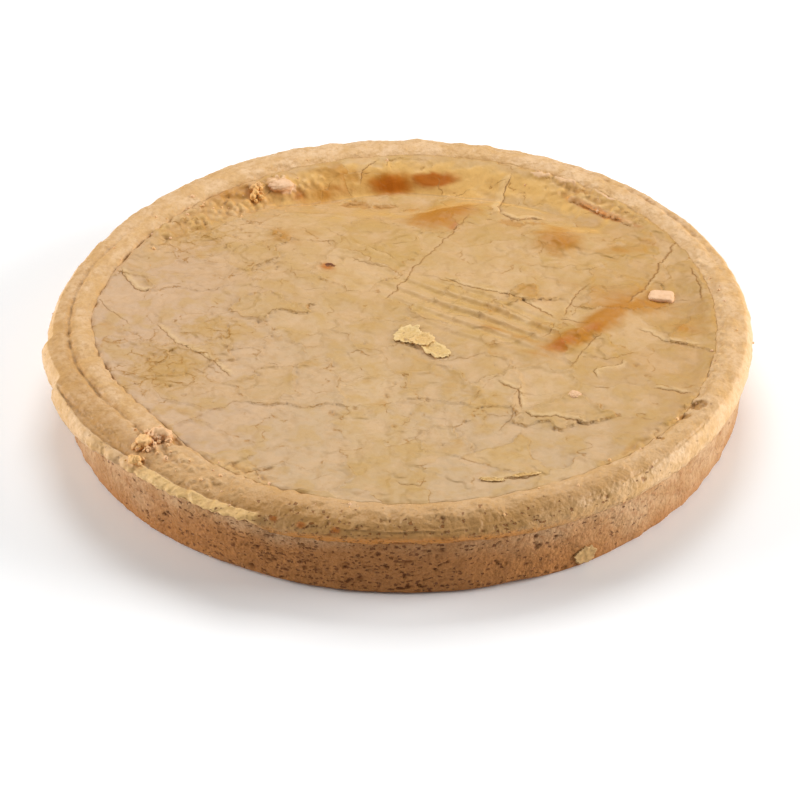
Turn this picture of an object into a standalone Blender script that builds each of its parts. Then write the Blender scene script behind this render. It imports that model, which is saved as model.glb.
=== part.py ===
# A whole ricotta tart: a brown shortcrust side under a golden pastry lid that laps over it.
# Metres, +Z up, front towards -Y. The origin is the middle of the flat base.
# An angle is in degrees from +X, turning towards the back.

import math

import bmesh
import bpy
from mathutils import Vector, noise
from mathutils.geometry import delaunay_2d_cdt

# Driving sizes
BASE_RADIUS = 0.1160
LID_RADIUS = 0.1184
LEDGE_HEIGHT = 0.0204  # lower edge of the lid
TOP_HEIGHT = 0.0284  # the level parts of the rim and of the lid inside it
CREASE_INSET = 0.0022  # from the lid's outer face in to the edge of its top
SEAM_RADIUS = 0.1050  # groove between the rim and the sunken lid
ROLL_HEIGHT = 0.0009  # crown of the rim between the seam and the crease
TORN_LIP = 0.0010  # how far the torn stretch of the lid's edge sticks out
TORN_LIFT = 0.0044  # how much higher the lid's lower edge is there
SHELF_UNDERCUT = 0.0034  # how far the side stands back under the shelf on the left

# Where the outline departs from a circle: middle angle, half width in degrees, distance out
LID_SWELLS = ((5, 55, 0.0009), (75, 24, -0.0010), (150, 16, -0.0007), (192, 28, 0.0028))
FOOT_SWELLS = ((295, 18, 0.0012), (0, 50, -0.0008), (180, 50, -0.0008))
SEAM_SWELLS = ((178, 16, 0.0030), (216, 14, -0.0040), (322, 16, 0.0020), (0, 90, 0.0022), (180, 90, -0.0022))
OUTER_GROOVE_SWELLS = ((215, 16, -0.0060), (140, 22, -0.0040), (36, 30, 0.0010))
# The shelf's two broken ledges: the angles where each starts and ends, how gently it ends, distance out
SHELF_LEDGES = ((184.5, 197, 9, 0.0017), (196.5, 224, 14, 0.0022))
# Where the foot curls up off what it stands on: the same as the swells, upwards
FOOT_GAPS = ((288, 4, 0.0010), (243, 8, 0.0008))
# How far in from the seam the lid takes to reach its sunken level, and where it takes longer
SLOPE_RUN = 0.004
SLOPE_SWELLS = ((92, 50, 0.013), (35, 25, 0.004), (0, 30, 0.003))
# Grooves round the lid: how deep, where less deep or deeper, and half width
SEAM_DEPTH = 0.0012
SEAM_DEPTH_SWELLS = ((90, 50, -0.0008), (275, 50, -0.0005), (0, 40, -0.0003))
SEAM_HALF_WIDTH = 0.0016
OUTER_GROOVE_RADIUS = 0.1135
OUTER_GROOVE_DEPTHS = ((184, 44, 0.0015), (36, 22, 0.0008))
OUTER_GROOVE_HALF_WIDTH = 0.0015
# The crevice that parts the shelf from the rim: it starts at the shelf's edge and ends under the torn lip
CREVICE_START = 197
CREVICE_END = 226
CREVICE_RADIUS = 0.1171
CREVICE_LEAN = 0.0048  # how much farther out it starts
CREVICE_DEPTH = 0.0010
CREVICE_HALF_WIDTH = 0.0013
SHELF_DROP = 0.0009  # how much lower the shelf lies than the rim

# How finely the surface is divided
SEGMENTS = 128
GRID_STEP = 0.0040
LINE_STEP = 0.0030
FEATURE_CLEARANCE = 0.0007  # least distance between two points of cracks, grooves and crumbs
EDGE_CLEARANCE = 0.0012  # least distance from them to the crease

# Where the lid has sunk: centre, reach along and across, turn in degrees, depth
HOLLOWS = (
    ((0.000, 0.005), (0.095, 0.085), 0, 0.0020),
    ((-0.002, 0.086), (0.056, 0.019), 0, 0.0075),
    ((0.062, 0.068), (0.024, 0.015), -42, 0.0035),
    ((0.094, 0.008), (0.013, 0.018), 0, 0.0018),
    ((-0.064, 0.058), (0.026, 0.016), 40, 0.0012),
)
# Blisters that browned: the same, and height
BLISTERS = (
    ((0.020, 0.072), (0.014, 0.008), 25, 0.0028),
    ((0.058, 0.050), (0.016, 0.008), 10, 0.0022),
    ((0.064, -0.006), (0.019, 0.005), 42, 0.0020),
)
# Ripples pressed into the middle of the lid
RIPPLE_CENTRE = (0.026, 0.004)
RIPPLE_REACH = (0.034, 0.0125)
RIPPLE_TURN = -34
RIPPLE_SPACING = 0.0061
RIPPLE_DEPTH = 0.0005

# Cracks in the lid: the points they run through, depth and half width
CRACKS = (
    (((0.025, 0.068), (0.011, 0.044), (-0.005, 0.015)), 0.0007, 0.0010),
    (((0.038, -0.023), (0.029, -0.037), (0.021, -0.052)), 0.0005, 0.0010),
    (((0.037, -0.049), (0.036, -0.057), (0.031, -0.066)), 0.0006, 0.0010),
    (((0.097, 0.048), (0.090, 0.031), (0.077, 0.008)), 0.0014, 0.0014),
    (((0.068, -0.009), (0.059, -0.023), (0.056, -0.029)), 0.0007, 0.0010),
    (((0.100, 0.031), (0.103, 0.020), (0.103, 0.009)), 0.0008, 0.0010),
    (((0.014, 0.027), (0.030, 0.017), (0.041, 0.013), (0.052, 0.000), (0.064, -0.006)), 0.0009, 0.0011),
    (((0.055, 0.001), (0.058, 0.010), (0.064, 0.020)), 0.0009, 0.0011),
    (((0.052, 0.000), (0.051, -0.007), (0.047, -0.012)), 0.0007, 0.0010),
    (((0.031, -0.036), (0.038, -0.043), (0.039, -0.053), (0.047, -0.059), (0.061, -0.062)), 0.0013, 0.0014),
    (((0.074, -0.024), (0.065, -0.030), (0.065, -0.037)), 0.0008, 0.0010),
    (((0.080, -0.042), (0.088, -0.043), (0.096, -0.046)), 0.0010, 0.0011),
    (((0.079, -0.006), (0.088, -0.014), (0.100, -0.017)), 0.0006, 0.0010),
    (((-0.098, 0.032), (-0.095, 0.023), (-0.085, 0.019)), 0.0009, 0.0010),
    (((-0.106, 0.013), (-0.099, 0.005), (-0.092, -0.004)), 0.0006, 0.0010),
    (((-0.084, -0.001), (-0.075, -0.015), (-0.057, -0.034)), 0.0009, 0.0010),
    (((0.035, 0.071), (0.041, 0.066), (0.050, 0.064)), 0.0012, 0.0012),
    (((0.059, 0.079), (0.070, 0.071), (0.082, 0.057)), 0.0013, 0.0014),
    (((-0.022, 0.080), (-0.013, 0.083), (-0.004, 0.082)), 0.0011, 0.0016),
    (((0.028, -0.093), (0.036, -0.092), (0.043, -0.090)), 0.0008, 0.0012),
    (((-0.049, -0.087), (-0.042, -0.085)), 0.0009, 0.0013),
)
# Flakes and crumbs baked on: centre, reach along and across, turn, height, edge's squareness
CRUMBS = (
    ((0.004, -0.011), (0.0070, 0.0060), -30, 0.0012, 8),
    ((0.010, -0.019), (0.0068, 0.0024), -62, 0.0009, 8),
    ((0.0893, 0.014), (0.0046, 0.0034), -8, 0.0030, 8),
    ((-0.079, -0.069), (0.0036, 0.0032), 0, 0.0030, 3),
    ((-0.086, -0.072), (0.0036, 0.0030), 40, 0.0028, 3),
    ((-0.0885, -0.0800), (0.0034, 0.0028), -20, 0.0028, 3),
    ((-0.046, 0.088), (0.0075, 0.0045), -15, 0.0034, 4),
    ((-0.053, 0.084), (0.0030, 0.0030), 0, 0.0030, 3),
    ((0.058, -0.048), (0.0022, 0.0020), 0, 0.0014, 3),
)
# A flake stuck to the side, near its foot
SIDE_FLAKE_ANGLE = 299.8
SIDE_FLAKE_HEIGHT = 0.0055
SIDE_FLAKE_REACH = 0.0038
SIDE_FLAKE_THICKNESS = 0.0011

# Unevenness: size of the lumps, and how far they move the surface
SIDE_LUMP_SIZE = 0.008
SIDE_LUMP_DEPTH = 0.0006
TOP_LUMP_SIZE = 0.014
TOP_LUMP_DEPTH = 0.0004
RIM_LUMP_SIZE = 0.007
RIM_LUMP_DEPTH = 0.0006

PASTRY_COLOUR = (0.64, 0.42, 0.20, 1.0)
PASTRY_ROUGHNESS = 0.55


def swell(angle, centre, width):
    """1 at the centre angle, falling to 0 over about the width on both sides."""
    away = (angle - centre + 180) % 360 - 180
    return math.exp(-((away / width) ** 2))


def swells(angle, parts):
    """The sum of several swells, each given as (centre, width, amount)."""
    return sum(amount * swell(angle, centre, width) for centre, width, amount in parts)


def ease(amount):
    amount = min(max(amount, 0.0), 1.0)
    return amount * amount * (3 - 2 * amount)


def angle_of(point):
    return math.degrees(math.atan2(point.y, point.x)) % 360


def oval_distance(x, y, centre, reach, turn):
    """Distance from the centre, where 1 is on the oval's outline."""
    turn = math.radians(turn)
    x, y = x - centre[0], y - centre[1]
    along = x * math.cos(turn) + y * math.sin(turn)
    across = y * math.cos(turn) - x * math.sin(turn)
    return math.hypot(along / reach[0], across / reach[1])


# The outline by angle


def foot_radius(angle):
    return BASE_RADIUS + swells(angle, FOOT_SWELLS)


def torn_lip(angle):
    """1 where the lid's lower edge has torn off in a strip at the front left, else 0."""
    return ease((angle - 202) / 20) * ease((249 - angle) / 4)


def shelf_ledge(angle):
    return sum(out * ease((angle - start) / 2) * ease((end - angle) / fade) for start, end, fade, out in SHELF_LEDGES)


def lid_radius(angle):
    """The lid's outer face. On the left it sticks out like a small shelf."""
    return LID_RADIUS + swells(angle, LID_SWELLS) + shelf_ledge(angle) + TORN_LIP * torn_lip(angle)


def crease_radius(angle):
    return lid_radius(angle) - CREASE_INSET


def shell_radius(angle):
    """The top of the side, just under the lid."""
    return lid_radius(angle) - 0.0015 - shelf_ledge(angle) - SHELF_UNDERCUT * swell(angle, 198, 30)


def ledge_height(angle):
    return LEDGE_HEIGHT + 0.0008 * swell(angle, 270, 14) + TORN_LIFT * torn_lip(angle)


def foot_gap(angle):
    return swells(angle, FOOT_GAPS)


def seam_radius(angle):
    return SEAM_RADIUS + swells(angle, SEAM_SWELLS)


def slope_run(angle):
    return SLOPE_RUN + swells(angle, SLOPE_SWELLS)


def outer_groove_radius(angle):
    """A second groove, on the rim's left and at its back right."""
    return OUTER_GROOVE_RADIUS + swells(angle, OUTER_GROOVE_SWELLS)


def crevice_radius(angle):
    lean = min(max((214 - angle) / 16, 0.0), 1.0)
    return CREVICE_RADIUS + CREVICE_LEAN * lean**1.5


def crevice_strength(angle):
    return ease((angle - CREVICE_START) / 3) * ease((CREVICE_END - angle) / 8)


# Heights of the lid's top


def lumps(x, y, size, depth, seed):
    return depth * noise.noise(Vector((x / size, y / size, seed)))


def groove_profile(distance, half_width):
    return max(0.0, 1.0 - distance / half_width)


def distance_to_line(x, y, line):
    point = Vector((x, y))
    nearest = math.inf
    for start, end in zip(line, line[1:]):
        span = end - start
        along = min(max((point - start).dot(span) / span.length_squared, 0.0), 1.0)
        nearest = min(nearest, (point - start - along * span).length)
    return nearest


def wavy(points, seed):
    """The line through these points, with a slight wander, in steps of about LINE_STEP."""
    line = []
    for start, end in zip(points, points[1:]):
        start, end = Vector(start), Vector(end)
        steps = max(1, round((end - start).length / LINE_STEP))
        aside = Vector((start.y - end.y, end.x - start.x)).normalized()
        for step in range(steps):
            point = start.lerp(end, step / steps)
            wander = noise.noise(Vector((point.x, point.y, 0.0)) * 300 + Vector((0, 0, seed)))
            line.append(point + aside * 0.0012 * wander)
    line.append(Vector(points[-1]))
    return line


CRACK_LINES = [(wavy(points, seed), depth, half_width) for seed, (points, depth, half_width) in enumerate(CRACKS)]


def sunken(x, y):
    """Hollows, blisters and ripples, relative to the level lid."""
    height = 0.0
    for centre, reach, turn, depth in HOLLOWS:
        height -= depth * math.exp(-(oval_distance(x, y, centre, reach, turn) ** 2))
    for centre, reach, turn, rise in BLISTERS:
        height += rise * math.exp(-(oval_distance(x, y, centre, reach, turn) ** 2))
    fade = math.exp(-(oval_distance(x, y, RIPPLE_CENTRE, RIPPLE_REACH, RIPPLE_TURN) ** 2))
    turn = math.radians(RIPPLE_TURN)
    across = (y - RIPPLE_CENTRE[1]) * math.cos(turn) - (x - RIPPLE_CENTRE[0]) * math.sin(turn)
    return height + RIPPLE_DEPTH * fade * math.cos(2 * math.pi * across / RIPPLE_SPACING)


def grooves(x, y, radius, angle):
    seam_depth = SEAM_DEPTH + swells(angle, SEAM_DEPTH_SWELLS)
    depth = seam_depth * groove_profile(abs(radius - seam_radius(angle)), SEAM_HALF_WIDTH)
    outer_depth = swells(angle, OUTER_GROOVE_DEPTHS)
    depth += outer_depth * groove_profile(abs(radius - outer_groove_radius(angle)), OUTER_GROOVE_HALF_WIDTH)
    for line, crack_depth, half_width in CRACK_LINES:
        if (Vector((x, y)) - line[len(line) // 2]).length < 0.030:
            depth = max(depth, crack_depth * groove_profile(distance_to_line(x, y, line), half_width))
    past = radius - crevice_radius(angle)
    crevice = CREVICE_DEPTH * groove_profile(abs(past), CREVICE_HALF_WIDTH) + SHELF_DROP * ease(past / CREVICE_HALF_WIDTH)
    return depth + crevice * crevice_strength(angle)


def crumb_height(x, y):
    height = 0.0
    for centre, reach, turn, rise, squareness in CRUMBS:
        out = oval_distance(x, y, centre, reach, turn)
        if out < 1:
            height = max(height, rise * (1 - out**squareness))
    return height


def top_height(x, y):
    """Height of the lid's top over a point, out to the crease."""
    radius = math.hypot(x, y)
    angle = angle_of(Vector((x, y)))
    seam = seam_radius(angle)
    crease = crease_radius(angle)
    inside = ease((seam - radius) / slope_run(angle))
    across_rim = min(max((radius - seam) / (crease - seam), 0.0), 1.0)
    crown = ROLL_HEIGHT * math.sin(math.pi * across_rim)
    roughness = lumps(x, y, TOP_LUMP_SIZE, TOP_LUMP_DEPTH, 3.0)
    roughness += lumps(x, y, RIM_LUMP_SIZE, RIM_LUMP_DEPTH, 7.0) * ease((radius - seam + 0.006) / 0.008)
    height = TOP_HEIGHT + crown + inside * sunken(x, y) + roughness
    return height - grooves(x, y, radius, angle) + crumb_height(x, y)


# The side, as rings from the base up to the crease


def side_bulge(angle, height):
    """Lumps of the side, and the flake stuck to it."""
    x, y = math.cos(math.radians(angle)), math.sin(math.radians(angle))
    place = Vector((x * BASE_RADIUS, y * BASE_RADIUS, height)) / SIDE_LUMP_SIZE
    around = math.radians((angle - SIDE_FLAKE_ANGLE + 180) % 360 - 180) * BASE_RADIUS
    out = math.hypot(around, height - SIDE_FLAKE_HEIGHT) / SIDE_FLAKE_REACH
    return SIDE_LUMP_DEPTH * noise.noise(place) + SIDE_FLAKE_THICKNESS * math.exp(-(out**4))


def side_ring(angle):
    """(radius, height) pairs at this angle, from the flat base up to below the crease."""
    foot = foot_radius(angle)
    shell = shell_radius(angle)
    ledge = ledge_height(angle)
    lid = lid_radius(angle)
    ring = [(foot - 0.0030, 0.0), (foot - 0.0004, 0.0006 + foot_gap(angle))]
    for share in (0.12, 0.29, 0.46, 0.63, 0.81, 0.97):
        height = ledge * share
        ring.append((foot + (shell - foot) * share + side_bulge(angle, height), height))
    for share, inset in ((0.04, 0.0003), (0.28, 0.0), (0.56, 0.0004), (0.83, 0.0010)):
        height = ledge + (TOP_HEIGHT - ledge) * share
        ring.append((lid - inset + side_bulge(angle, height) * 0.5, height))
    return ring


def at_angle(radius, angle):
    return Vector((radius * math.cos(math.radians(angle)), radius * math.sin(math.radians(angle))))


# Points of the top


def ring_points(radius_at, offset, strength, least):
    """Points of a groove that runs round, where it is deep enough to show."""
    points = []
    steps = round(2 * math.pi * SEAM_RADIUS / GRID_STEP)
    for step in range(steps):
        angle = 360 * step / steps
        if strength(angle) > least:
            points.append(at_angle(radius_at(angle) + offset, angle))
    return points


def crack_points(line, half_width):
    """The crack's own line, then one row of points along each of its edges."""
    rows = []
    for side in (0, 1, -1):
        for before, point, after in zip(line[:1] + line, line, line[1:] + line[-1:]):
            along = (after - before).normalized()
            rows.append(point + Vector((-along.y, along.x)) * side * half_width)
    return rows


def crumb_points(centre, reach, turn):
    points = [Vector(centre)]
    turn = math.radians(turn)
    for out, count in ((1.03, 14), (0.90, 14), (0.55, 7)):
        for step in range(count):
            around = 2 * math.pi * step / count
            along = reach[0] * out * math.cos(around)
            across = reach[1] * out * math.sin(around)
            x = centre[0] + along * math.cos(turn) - across * math.sin(turn)
            y = centre[1] + along * math.sin(turn) + across * math.cos(turn)
            points.append(Vector((x, y)))
    return points


def feature_points():
    """Points that the grooves, cracks and crumbs need, the most important first."""
    points = []
    for centre, reach, turn, _rise, _squareness in CRUMBS:
        points += crumb_points(centre, reach, turn)
    for line, _depth, half_width in CRACK_LINES:
        points += crack_points(line, half_width)
    for offset in (0.0, -0.0017, 0.0017):
        points += ring_points(seam_radius, offset, lambda angle: 1.0, 0.0)
        points += ring_points(outer_groove_radius, offset, lambda angle: swells(angle, OUTER_GROOVE_DEPTHS), 0.0003)
        points += ring_points(crevice_radius, offset, crevice_strength, 0.1)
    return points


def grid_points():
    """Rows of points over the whole lid, each row shifted by half a step."""
    points = []
    row_step = GRID_STEP * math.sqrt(3) / 2
    rows = math.ceil(LID_RADIUS / row_step)
    for row in range(-rows, rows + 1):
        shift = GRID_STEP / 2 * (row % 2)
        for column in range(-rows, rows + 1):
            points.append(Vector((column * GRID_STEP + shift, row * row_step)))
    return points


def add_spread(kept, points, clearance):
    """Adds the points that lie inside the crease and don't crowd one already kept."""
    for point in points:
        if point.length > crease_radius(angle_of(point)) - EDGE_CLEARANCE:
            continue
        if all(abs(point.x - near.x) > clearance or (point - near).length > clearance for near in kept):
            kept.append(point)


def is_inside(point, outline):
    """Whether the point is on the middle's side of the outline's edge at its angle."""
    number = int(angle_of(point) / 360 * len(outline)) % len(outline)
    start = outline[number]
    along = outline[(number + 1) % len(outline)] - start
    return along.x * (point.y - start.y) - along.y * (point.x - start.x) > 0


def lid_triangles(outline):
    """Positions and triangles of the lid's top, and each outline point's rank by its position's number."""
    points = list(outline)
    add_spread(points, feature_points(), FEATURE_CLEARANCE)
    add_spread(points, grid_points(), GRID_STEP * 0.62)
    count = len(outline)
    edges = [(number, (number + 1) % count) for number in range(count)]
    positions, _edges, triangles, originals, _, _ = delaunay_2d_cdt(points, edges, [], 1, 1e-7, True)
    ranks = {}
    for number, sources in enumerate(originals):
        for source in sources:
            if source < count:
                ranks[number] = source
    inner = []
    for triangle in triangles:
        middle = sum((positions[number] for number in triangle), Vector((0.0, 0.0))) / 3
        if is_inside(middle, outline):
            inner.append(triangle)
    return positions, inner, ranks


def ring_faces(bm, lower, upper):
    for number, corner in enumerate(lower):
        beside = (number + 1) % len(lower)
        bm.faces.new((corner, lower[beside], upper[beside]))
        bm.faces.new((corner, upper[beside], upper[number]))


def add_side(bm, angles):
    """The base and the side. Returns the crease's vertices."""
    profiles = [side_ring(angle) for angle in angles]
    rings = []
    for level in range(len(profiles[0])):
        ring = []
        for angle, profile in zip(angles, profiles):
            radius, height = profile[level]
            ring.append(bm.verts.new((*at_angle(radius, angle), height)))
        rings.append(ring)
    crease = []
    for angle in angles:
        x, y = at_angle(crease_radius(angle), angle)
        crease.append(bm.verts.new((x, y, top_height(x, y))))
    rings.append(crease)
    for lower, upper in zip(rings, rings[1:]):
        ring_faces(bm, lower, upper)
    middle = bm.verts.new((0.0, 0.0, 0.0))
    foot = rings[0]
    for number, corner in enumerate(foot):
        bm.faces.new((middle, foot[(number + 1) % len(foot)], corner))
    return crease


def add_lid(bm, crease):
    outline = [Vector((corner.co.x, corner.co.y)) for corner in crease]
    positions, triangles, ranks = lid_triangles(outline)
    corners = []
    for number, position in enumerate(positions):
        if number in ranks:
            corners.append(crease[ranks[number]])
        else:
            corners.append(bm.verts.new((*position, top_height(*position))))
    for triangle in triangles:
        bm.faces.new([corners[number] for number in triangle])


def pastry_material():
    material = bpy.data.materials.new("pastry")
    material.use_nodes = True
    shader = material.node_tree.nodes["Principled BSDF"]
    shader.inputs["Base Color"].default_value = PASTRY_COLOUR
    shader.inputs["Roughness"].default_value = PASTRY_ROUGHNESS
    shader.inputs["Metallic"].default_value = 0.0
    return material


def build_tart():
    angles = [360 * step / SEGMENTS for step in range(SEGMENTS)]
    bm = bmesh.new()
    crease = add_side(bm, angles)
    add_lid(bm, crease)
    bmesh.ops.recalc_face_normals(bm, faces=bm.faces)
    mesh = bpy.data.meshes.new("tart")
    bm.to_mesh(mesh)
    bm.free()
    mesh.materials.append(pastry_material())
    mesh.shade_smooth()
    mesh.set_sharp_from_angle(angle=math.radians(40))
    tart = bpy.data.objects.new("tart", mesh)
    bpy.context.scene.collection.objects.link(tart)
    return tart


def clear_scene():
    for old in list(bpy.data.objects):
        bpy.data.objects.remove(old, do_unlink=True)


clear_scene()
build_tart()
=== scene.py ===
import math

import bpy
import numpy as np
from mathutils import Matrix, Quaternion, Vector, kdtree, noise
from mathutils.geometry import delaunay_2d_cdt


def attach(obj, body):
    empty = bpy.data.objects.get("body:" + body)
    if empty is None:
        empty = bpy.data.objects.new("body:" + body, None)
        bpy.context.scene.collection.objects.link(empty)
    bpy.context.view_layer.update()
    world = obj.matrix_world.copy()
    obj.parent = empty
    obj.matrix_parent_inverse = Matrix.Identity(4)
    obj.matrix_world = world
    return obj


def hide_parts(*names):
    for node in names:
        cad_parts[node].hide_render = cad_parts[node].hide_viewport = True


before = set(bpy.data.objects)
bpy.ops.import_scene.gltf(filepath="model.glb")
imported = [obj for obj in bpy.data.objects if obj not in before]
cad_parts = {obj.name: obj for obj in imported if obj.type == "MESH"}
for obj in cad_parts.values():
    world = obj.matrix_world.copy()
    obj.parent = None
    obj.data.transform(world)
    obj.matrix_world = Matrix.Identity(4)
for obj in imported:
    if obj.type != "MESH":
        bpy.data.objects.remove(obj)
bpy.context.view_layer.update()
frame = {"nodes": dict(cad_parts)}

print("frame loaded:", ", ".join(frame["nodes"]))

# The tart stands on z = 0 with its middle at the origin, front towards -y. Lengths are in metres where a note
# doesn't say millimetres, and angles in degrees from +x, turning towards the back.
form = {
    "footRadius": 0.1160,
    "lidRadius": 0.1184,
    "ledgeHeight": 0.0204,  # lower edge of the lid
    "ledgeRise": 0.0008,  # how much higher that edge is at the front
    "overlap": 0.0015,  # how far the lid stands out past the side
    "topHeight": 0.0284,  # level of the rim and of the lid's front
    "creaseInset": 0.0022,  # from the lid's outer face in to the edge of its top
    "seamRadius": 0.1050,  # groove between the rim and the sunken skin of the lid
    "crownHeight": 0.0009,
    "tornLip": 0.0010,
    "tornLift": 0.0036,  # how much higher the lid's lower edge is where it tore
    "shelfUndercut": 0.0034,
    "seamWander": 0.0005,
    "seamDepth": 0.0011,
    "seamHalfWidth": 0.0009,
    "slopeRun": 0.004,  # from the seam in to the sunken level
    "outerGroove": 0.1135,  # second groove, along parts of the rim
    "outerDepth": 0.0,
    "outerHalfWidth": 0.0012,
    "footGap": 0.0,  # how far the foot stands clear of the table
}
# where each departs from its even value: middle angle, half width, amount in millimetres
swellsOf = {
    "lidRadius": [(5, 55, 0.9), (75, 24, -1), (150, 16, -0.7), (192, 28, 2.8)],
    "footRadius": [(295, 18, 1.2), (0, 50, -0.8), (180, 50, -0.8)],
    "footGap": [(288, 4, 1), (243, 8, 0.8)],
    "seamRadius": [(178, 16, 3), (216, 14, -4), (322, 16, 2), (0, 90, 2.2), (180, 90, -2.2)],
    "seamDepth": [(90, 50, -0.7), (275, 50, -0.6), (0, 40, -0.5)],
    "seamHalfWidth": [(355, 50, 0.8)],
    "slopeRun": [(92, 50, 13), (35, 25, 4), (0, 30, 3)],
    "outerGroove": [(215, 16, -6), (140, 22, -4), (36, 30, 1)],
    "outerDepth": [(184, 44, 1.4), (208, 14, 0.7), (38, 24, 1.3)],
}
# the two broken ledges of the shelf on the left: start, end, how gently each ends, distance out
shelfLedges = [(184.5, 197, 9, 0.0017), (196.5, 224, 14, 0.0022)]
# uneven height of the whole top, and of the rim: how far up and down, and over what distance
waves = {"lid": (0.0004, 0.014), "rim": (0.0006, 0.007)}
# the crevice that parts the shelf from the rim, and how much lower the shelf lies
crevice = {
    "start": 197, "end": 226, "radius": 0.1171, "lean": 0.0048, "leanEnd": 214,
    "depth": 0.0011, "halfWidth": 0.0008, "drop": 0.0009,
}
# where the lid has sunk, and where it blistered: centre, reach along and across, turn, height, in millimetres
hollows = [
    ((0, 5), (95, 85), 0, -2),
    ((-2, 86), (56, 19), 0, -7.5),
    ((62, 68), (24, 15), -42, -3.5),
    ((94, 8), (13, 18), 0, -1.8),
    ((-64, 58), (26, 16), 40, -1.2),
    ((20, 72), (14, 8), 25, 2.8),
    ((58, 50), (16, 8), 10, 2.2),
    ((64, -6), (19, 5), 42, 2),
]
ripples = {"centre": (26, 4), "reach": (34, 12.5), "turn": -34, "spacing": 6.1, "depth": 0.5}  # millimetres


def shade(red, green, blue):
    # a colour as it looks on a screen, 0 to 255, turned into light
    parts = [value / 255 for value in (red, green, blue)]
    return tuple(((part + 0.055) / 1.055) ** 2.4 for part in parts) + (1.0,)


def bell(value):
    return np.exp(-(value**2))


def swell(angle, centre, width):
    return bell(((angle - centre + 180) % 360 - 180) / width)


def around(name, angle):
    # a measure of the form, which swells and shrinks round the tart
    changes = [amount * swell(angle, centre, width) for centre, width, amount in swellsOf[name]]
    return form[name] + sum(changes) / 1000


def ease(amount):
    amount = np.clip(amount, 0.0, 1.0)
    return amount * amount * (3 - 2 * amount)


def turnedFrom(x, y, centre, turn):
    # distances along and across a line through the centre, in millimetres
    turn = math.radians(turn)
    x = x * 1000 - centre[0]
    y = y * 1000 - centre[1]
    return x * math.cos(turn) + y * math.sin(turn), y * math.cos(turn) - x * math.sin(turn)


def ovalDistance(x, y, centre, reach, turn):
    # 1 on the oval's edge
    along, across = turnedFrom(x, y, centre, turn)
    return np.hypot(along / reach[0], across / reach[1])


def pairs(x, y):
    return np.stack([x, y], axis=-1)


def bumps(points, size, seed):
    # a smooth random number from -1 to 1 for each point
    shift = Vector((0.0, 0.0, seed))
    return np.array([noise.noise(Vector((*point, 0.0)[:3]) / size + shift) for point in points.tolist()])


def onCircle(radius, angle):
    turn = np.radians(angle)
    return pairs(radius * np.cos(turn), radius * np.sin(turn))


def angleOf(x, y):
    return np.degrees(np.arctan2(y, x)) % 360


# the tart's outline by angle
wanderAngles = np.arange(0.0, 360.0, 0.25)
wanderCircle = onCircle(form["seamRadius"], wanderAngles)
seamWander = form["seamWander"] * (bumps(wanderCircle, 0.006, 11) + 0.5 * bumps(wanderCircle, 0.0022, 12))


def tornLip(angle):
    return ease((angle - 202) / 20) * ease((249 - angle) / 4)


def shelfLedge(angle):
    out = 0.0
    for start, end, fade, distance in shelfLedges:
        out = out + distance * ease((angle - start) / 2) * ease((end - angle) / fade)
    return out


def lidRadius(angle):
    return around("lidRadius", angle) + shelfLedge(angle) + form["tornLip"] * tornLip(angle)


def creaseRadius(angle):
    return lidRadius(angle) - form["creaseInset"]


def shellRadius(angle):
    inset = form["overlap"] + shelfLedge(angle) + form["shelfUndercut"] * swell(angle, 198, 30)
    return lidRadius(angle) - inset


def ledgeHeight(angle):
    rise = form["ledgeRise"] * swell(angle, 270, 14) + form["tornLift"] * tornLip(angle)
    return form["ledgeHeight"] + rise


def seamRadius(angle):
    wander = np.interp(angle, wanderAngles, seamWander, period=360)
    return around("seamRadius", angle) + wander


def sunken(x, y):
    height = np.zeros_like(x)
    for centre, reach, turn, rise in hollows:
        height += rise * bell(ovalDistance(x, y, centre, reach, turn))
    return height / 1000


def rippled(x, y):
    fade = bell(ovalDistance(x, y, ripples["centre"], ripples["reach"], ripples["turn"]))
    _, across = turnedFrom(x, y, ripples["centre"], ripples["turn"])
    phase = 2 * math.pi * across / ripples["spacing"] + 0.6 * np.sin(x / 0.007)
    return ripples["depth"] / 1000 * fade * (np.cos(phase) - 0.3 * np.sin(2 * phase))


# the wall down to the sunken back: folds that run down it, and the trough at its foot
backWall = {
    "middle": 92, "halfTurn": 34, "radius": 0.0975, "halfWidth": 0.0055,
    "fold": 0.0010, "foot": 0.0908, "footWander": 0.0012, "trough": 0.0012, "troughHalfWidth": 0.0016,
}


def wallFolds(radius, angle):
    along = swell(angle, backWall["middle"], backWall["halfTurn"])
    across = bell((radius - backWall["radius"]) / backWall["halfWidth"])
    turned = pairs(angle * 0.0018, radius * 0.7)
    folds = backWall["fold"] * (bumps(turned, 0.0060, 25) + 0.5 * bumps(turned, 0.0026, 26))
    foot = backWall["foot"] + backWall["footWander"] * np.sin(np.radians(angle * 9))
    trough = backWall["trough"] * bell((radius - foot) / backWall["troughHalfWidth"])
    return along * (across * folds - trough)


def lidHeight(x, y):
    # the lid's top without its cracks, out to the crease
    radius = np.hypot(x, y)
    angle = angleOf(x, y)
    seam = seamRadius(angle)
    inside = ease((seam - radius) / around("slopeRun", angle))
    acrossRim = np.clip((radius - seam) / (creaseRadius(angle) - seam), 0, 1)
    (lidRise, lidWave), (rimRise, rimWave) = waves["lid"], waves["rim"]
    uneven = lidRise * bumps(pairs(x, y), lidWave, 3.0)
    uneven += rimRise * bumps(pairs(x, y), rimWave, 7.0) * ease((radius - seam + 0.006) / 0.008)
    crown = form["crownHeight"] * np.sin(np.pi * acrossRim)
    height = form["topHeight"] + crown + inside * (sunken(x, y) + rippled(x, y))
    return height + uneven + wallFolds(radius, angle)


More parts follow.
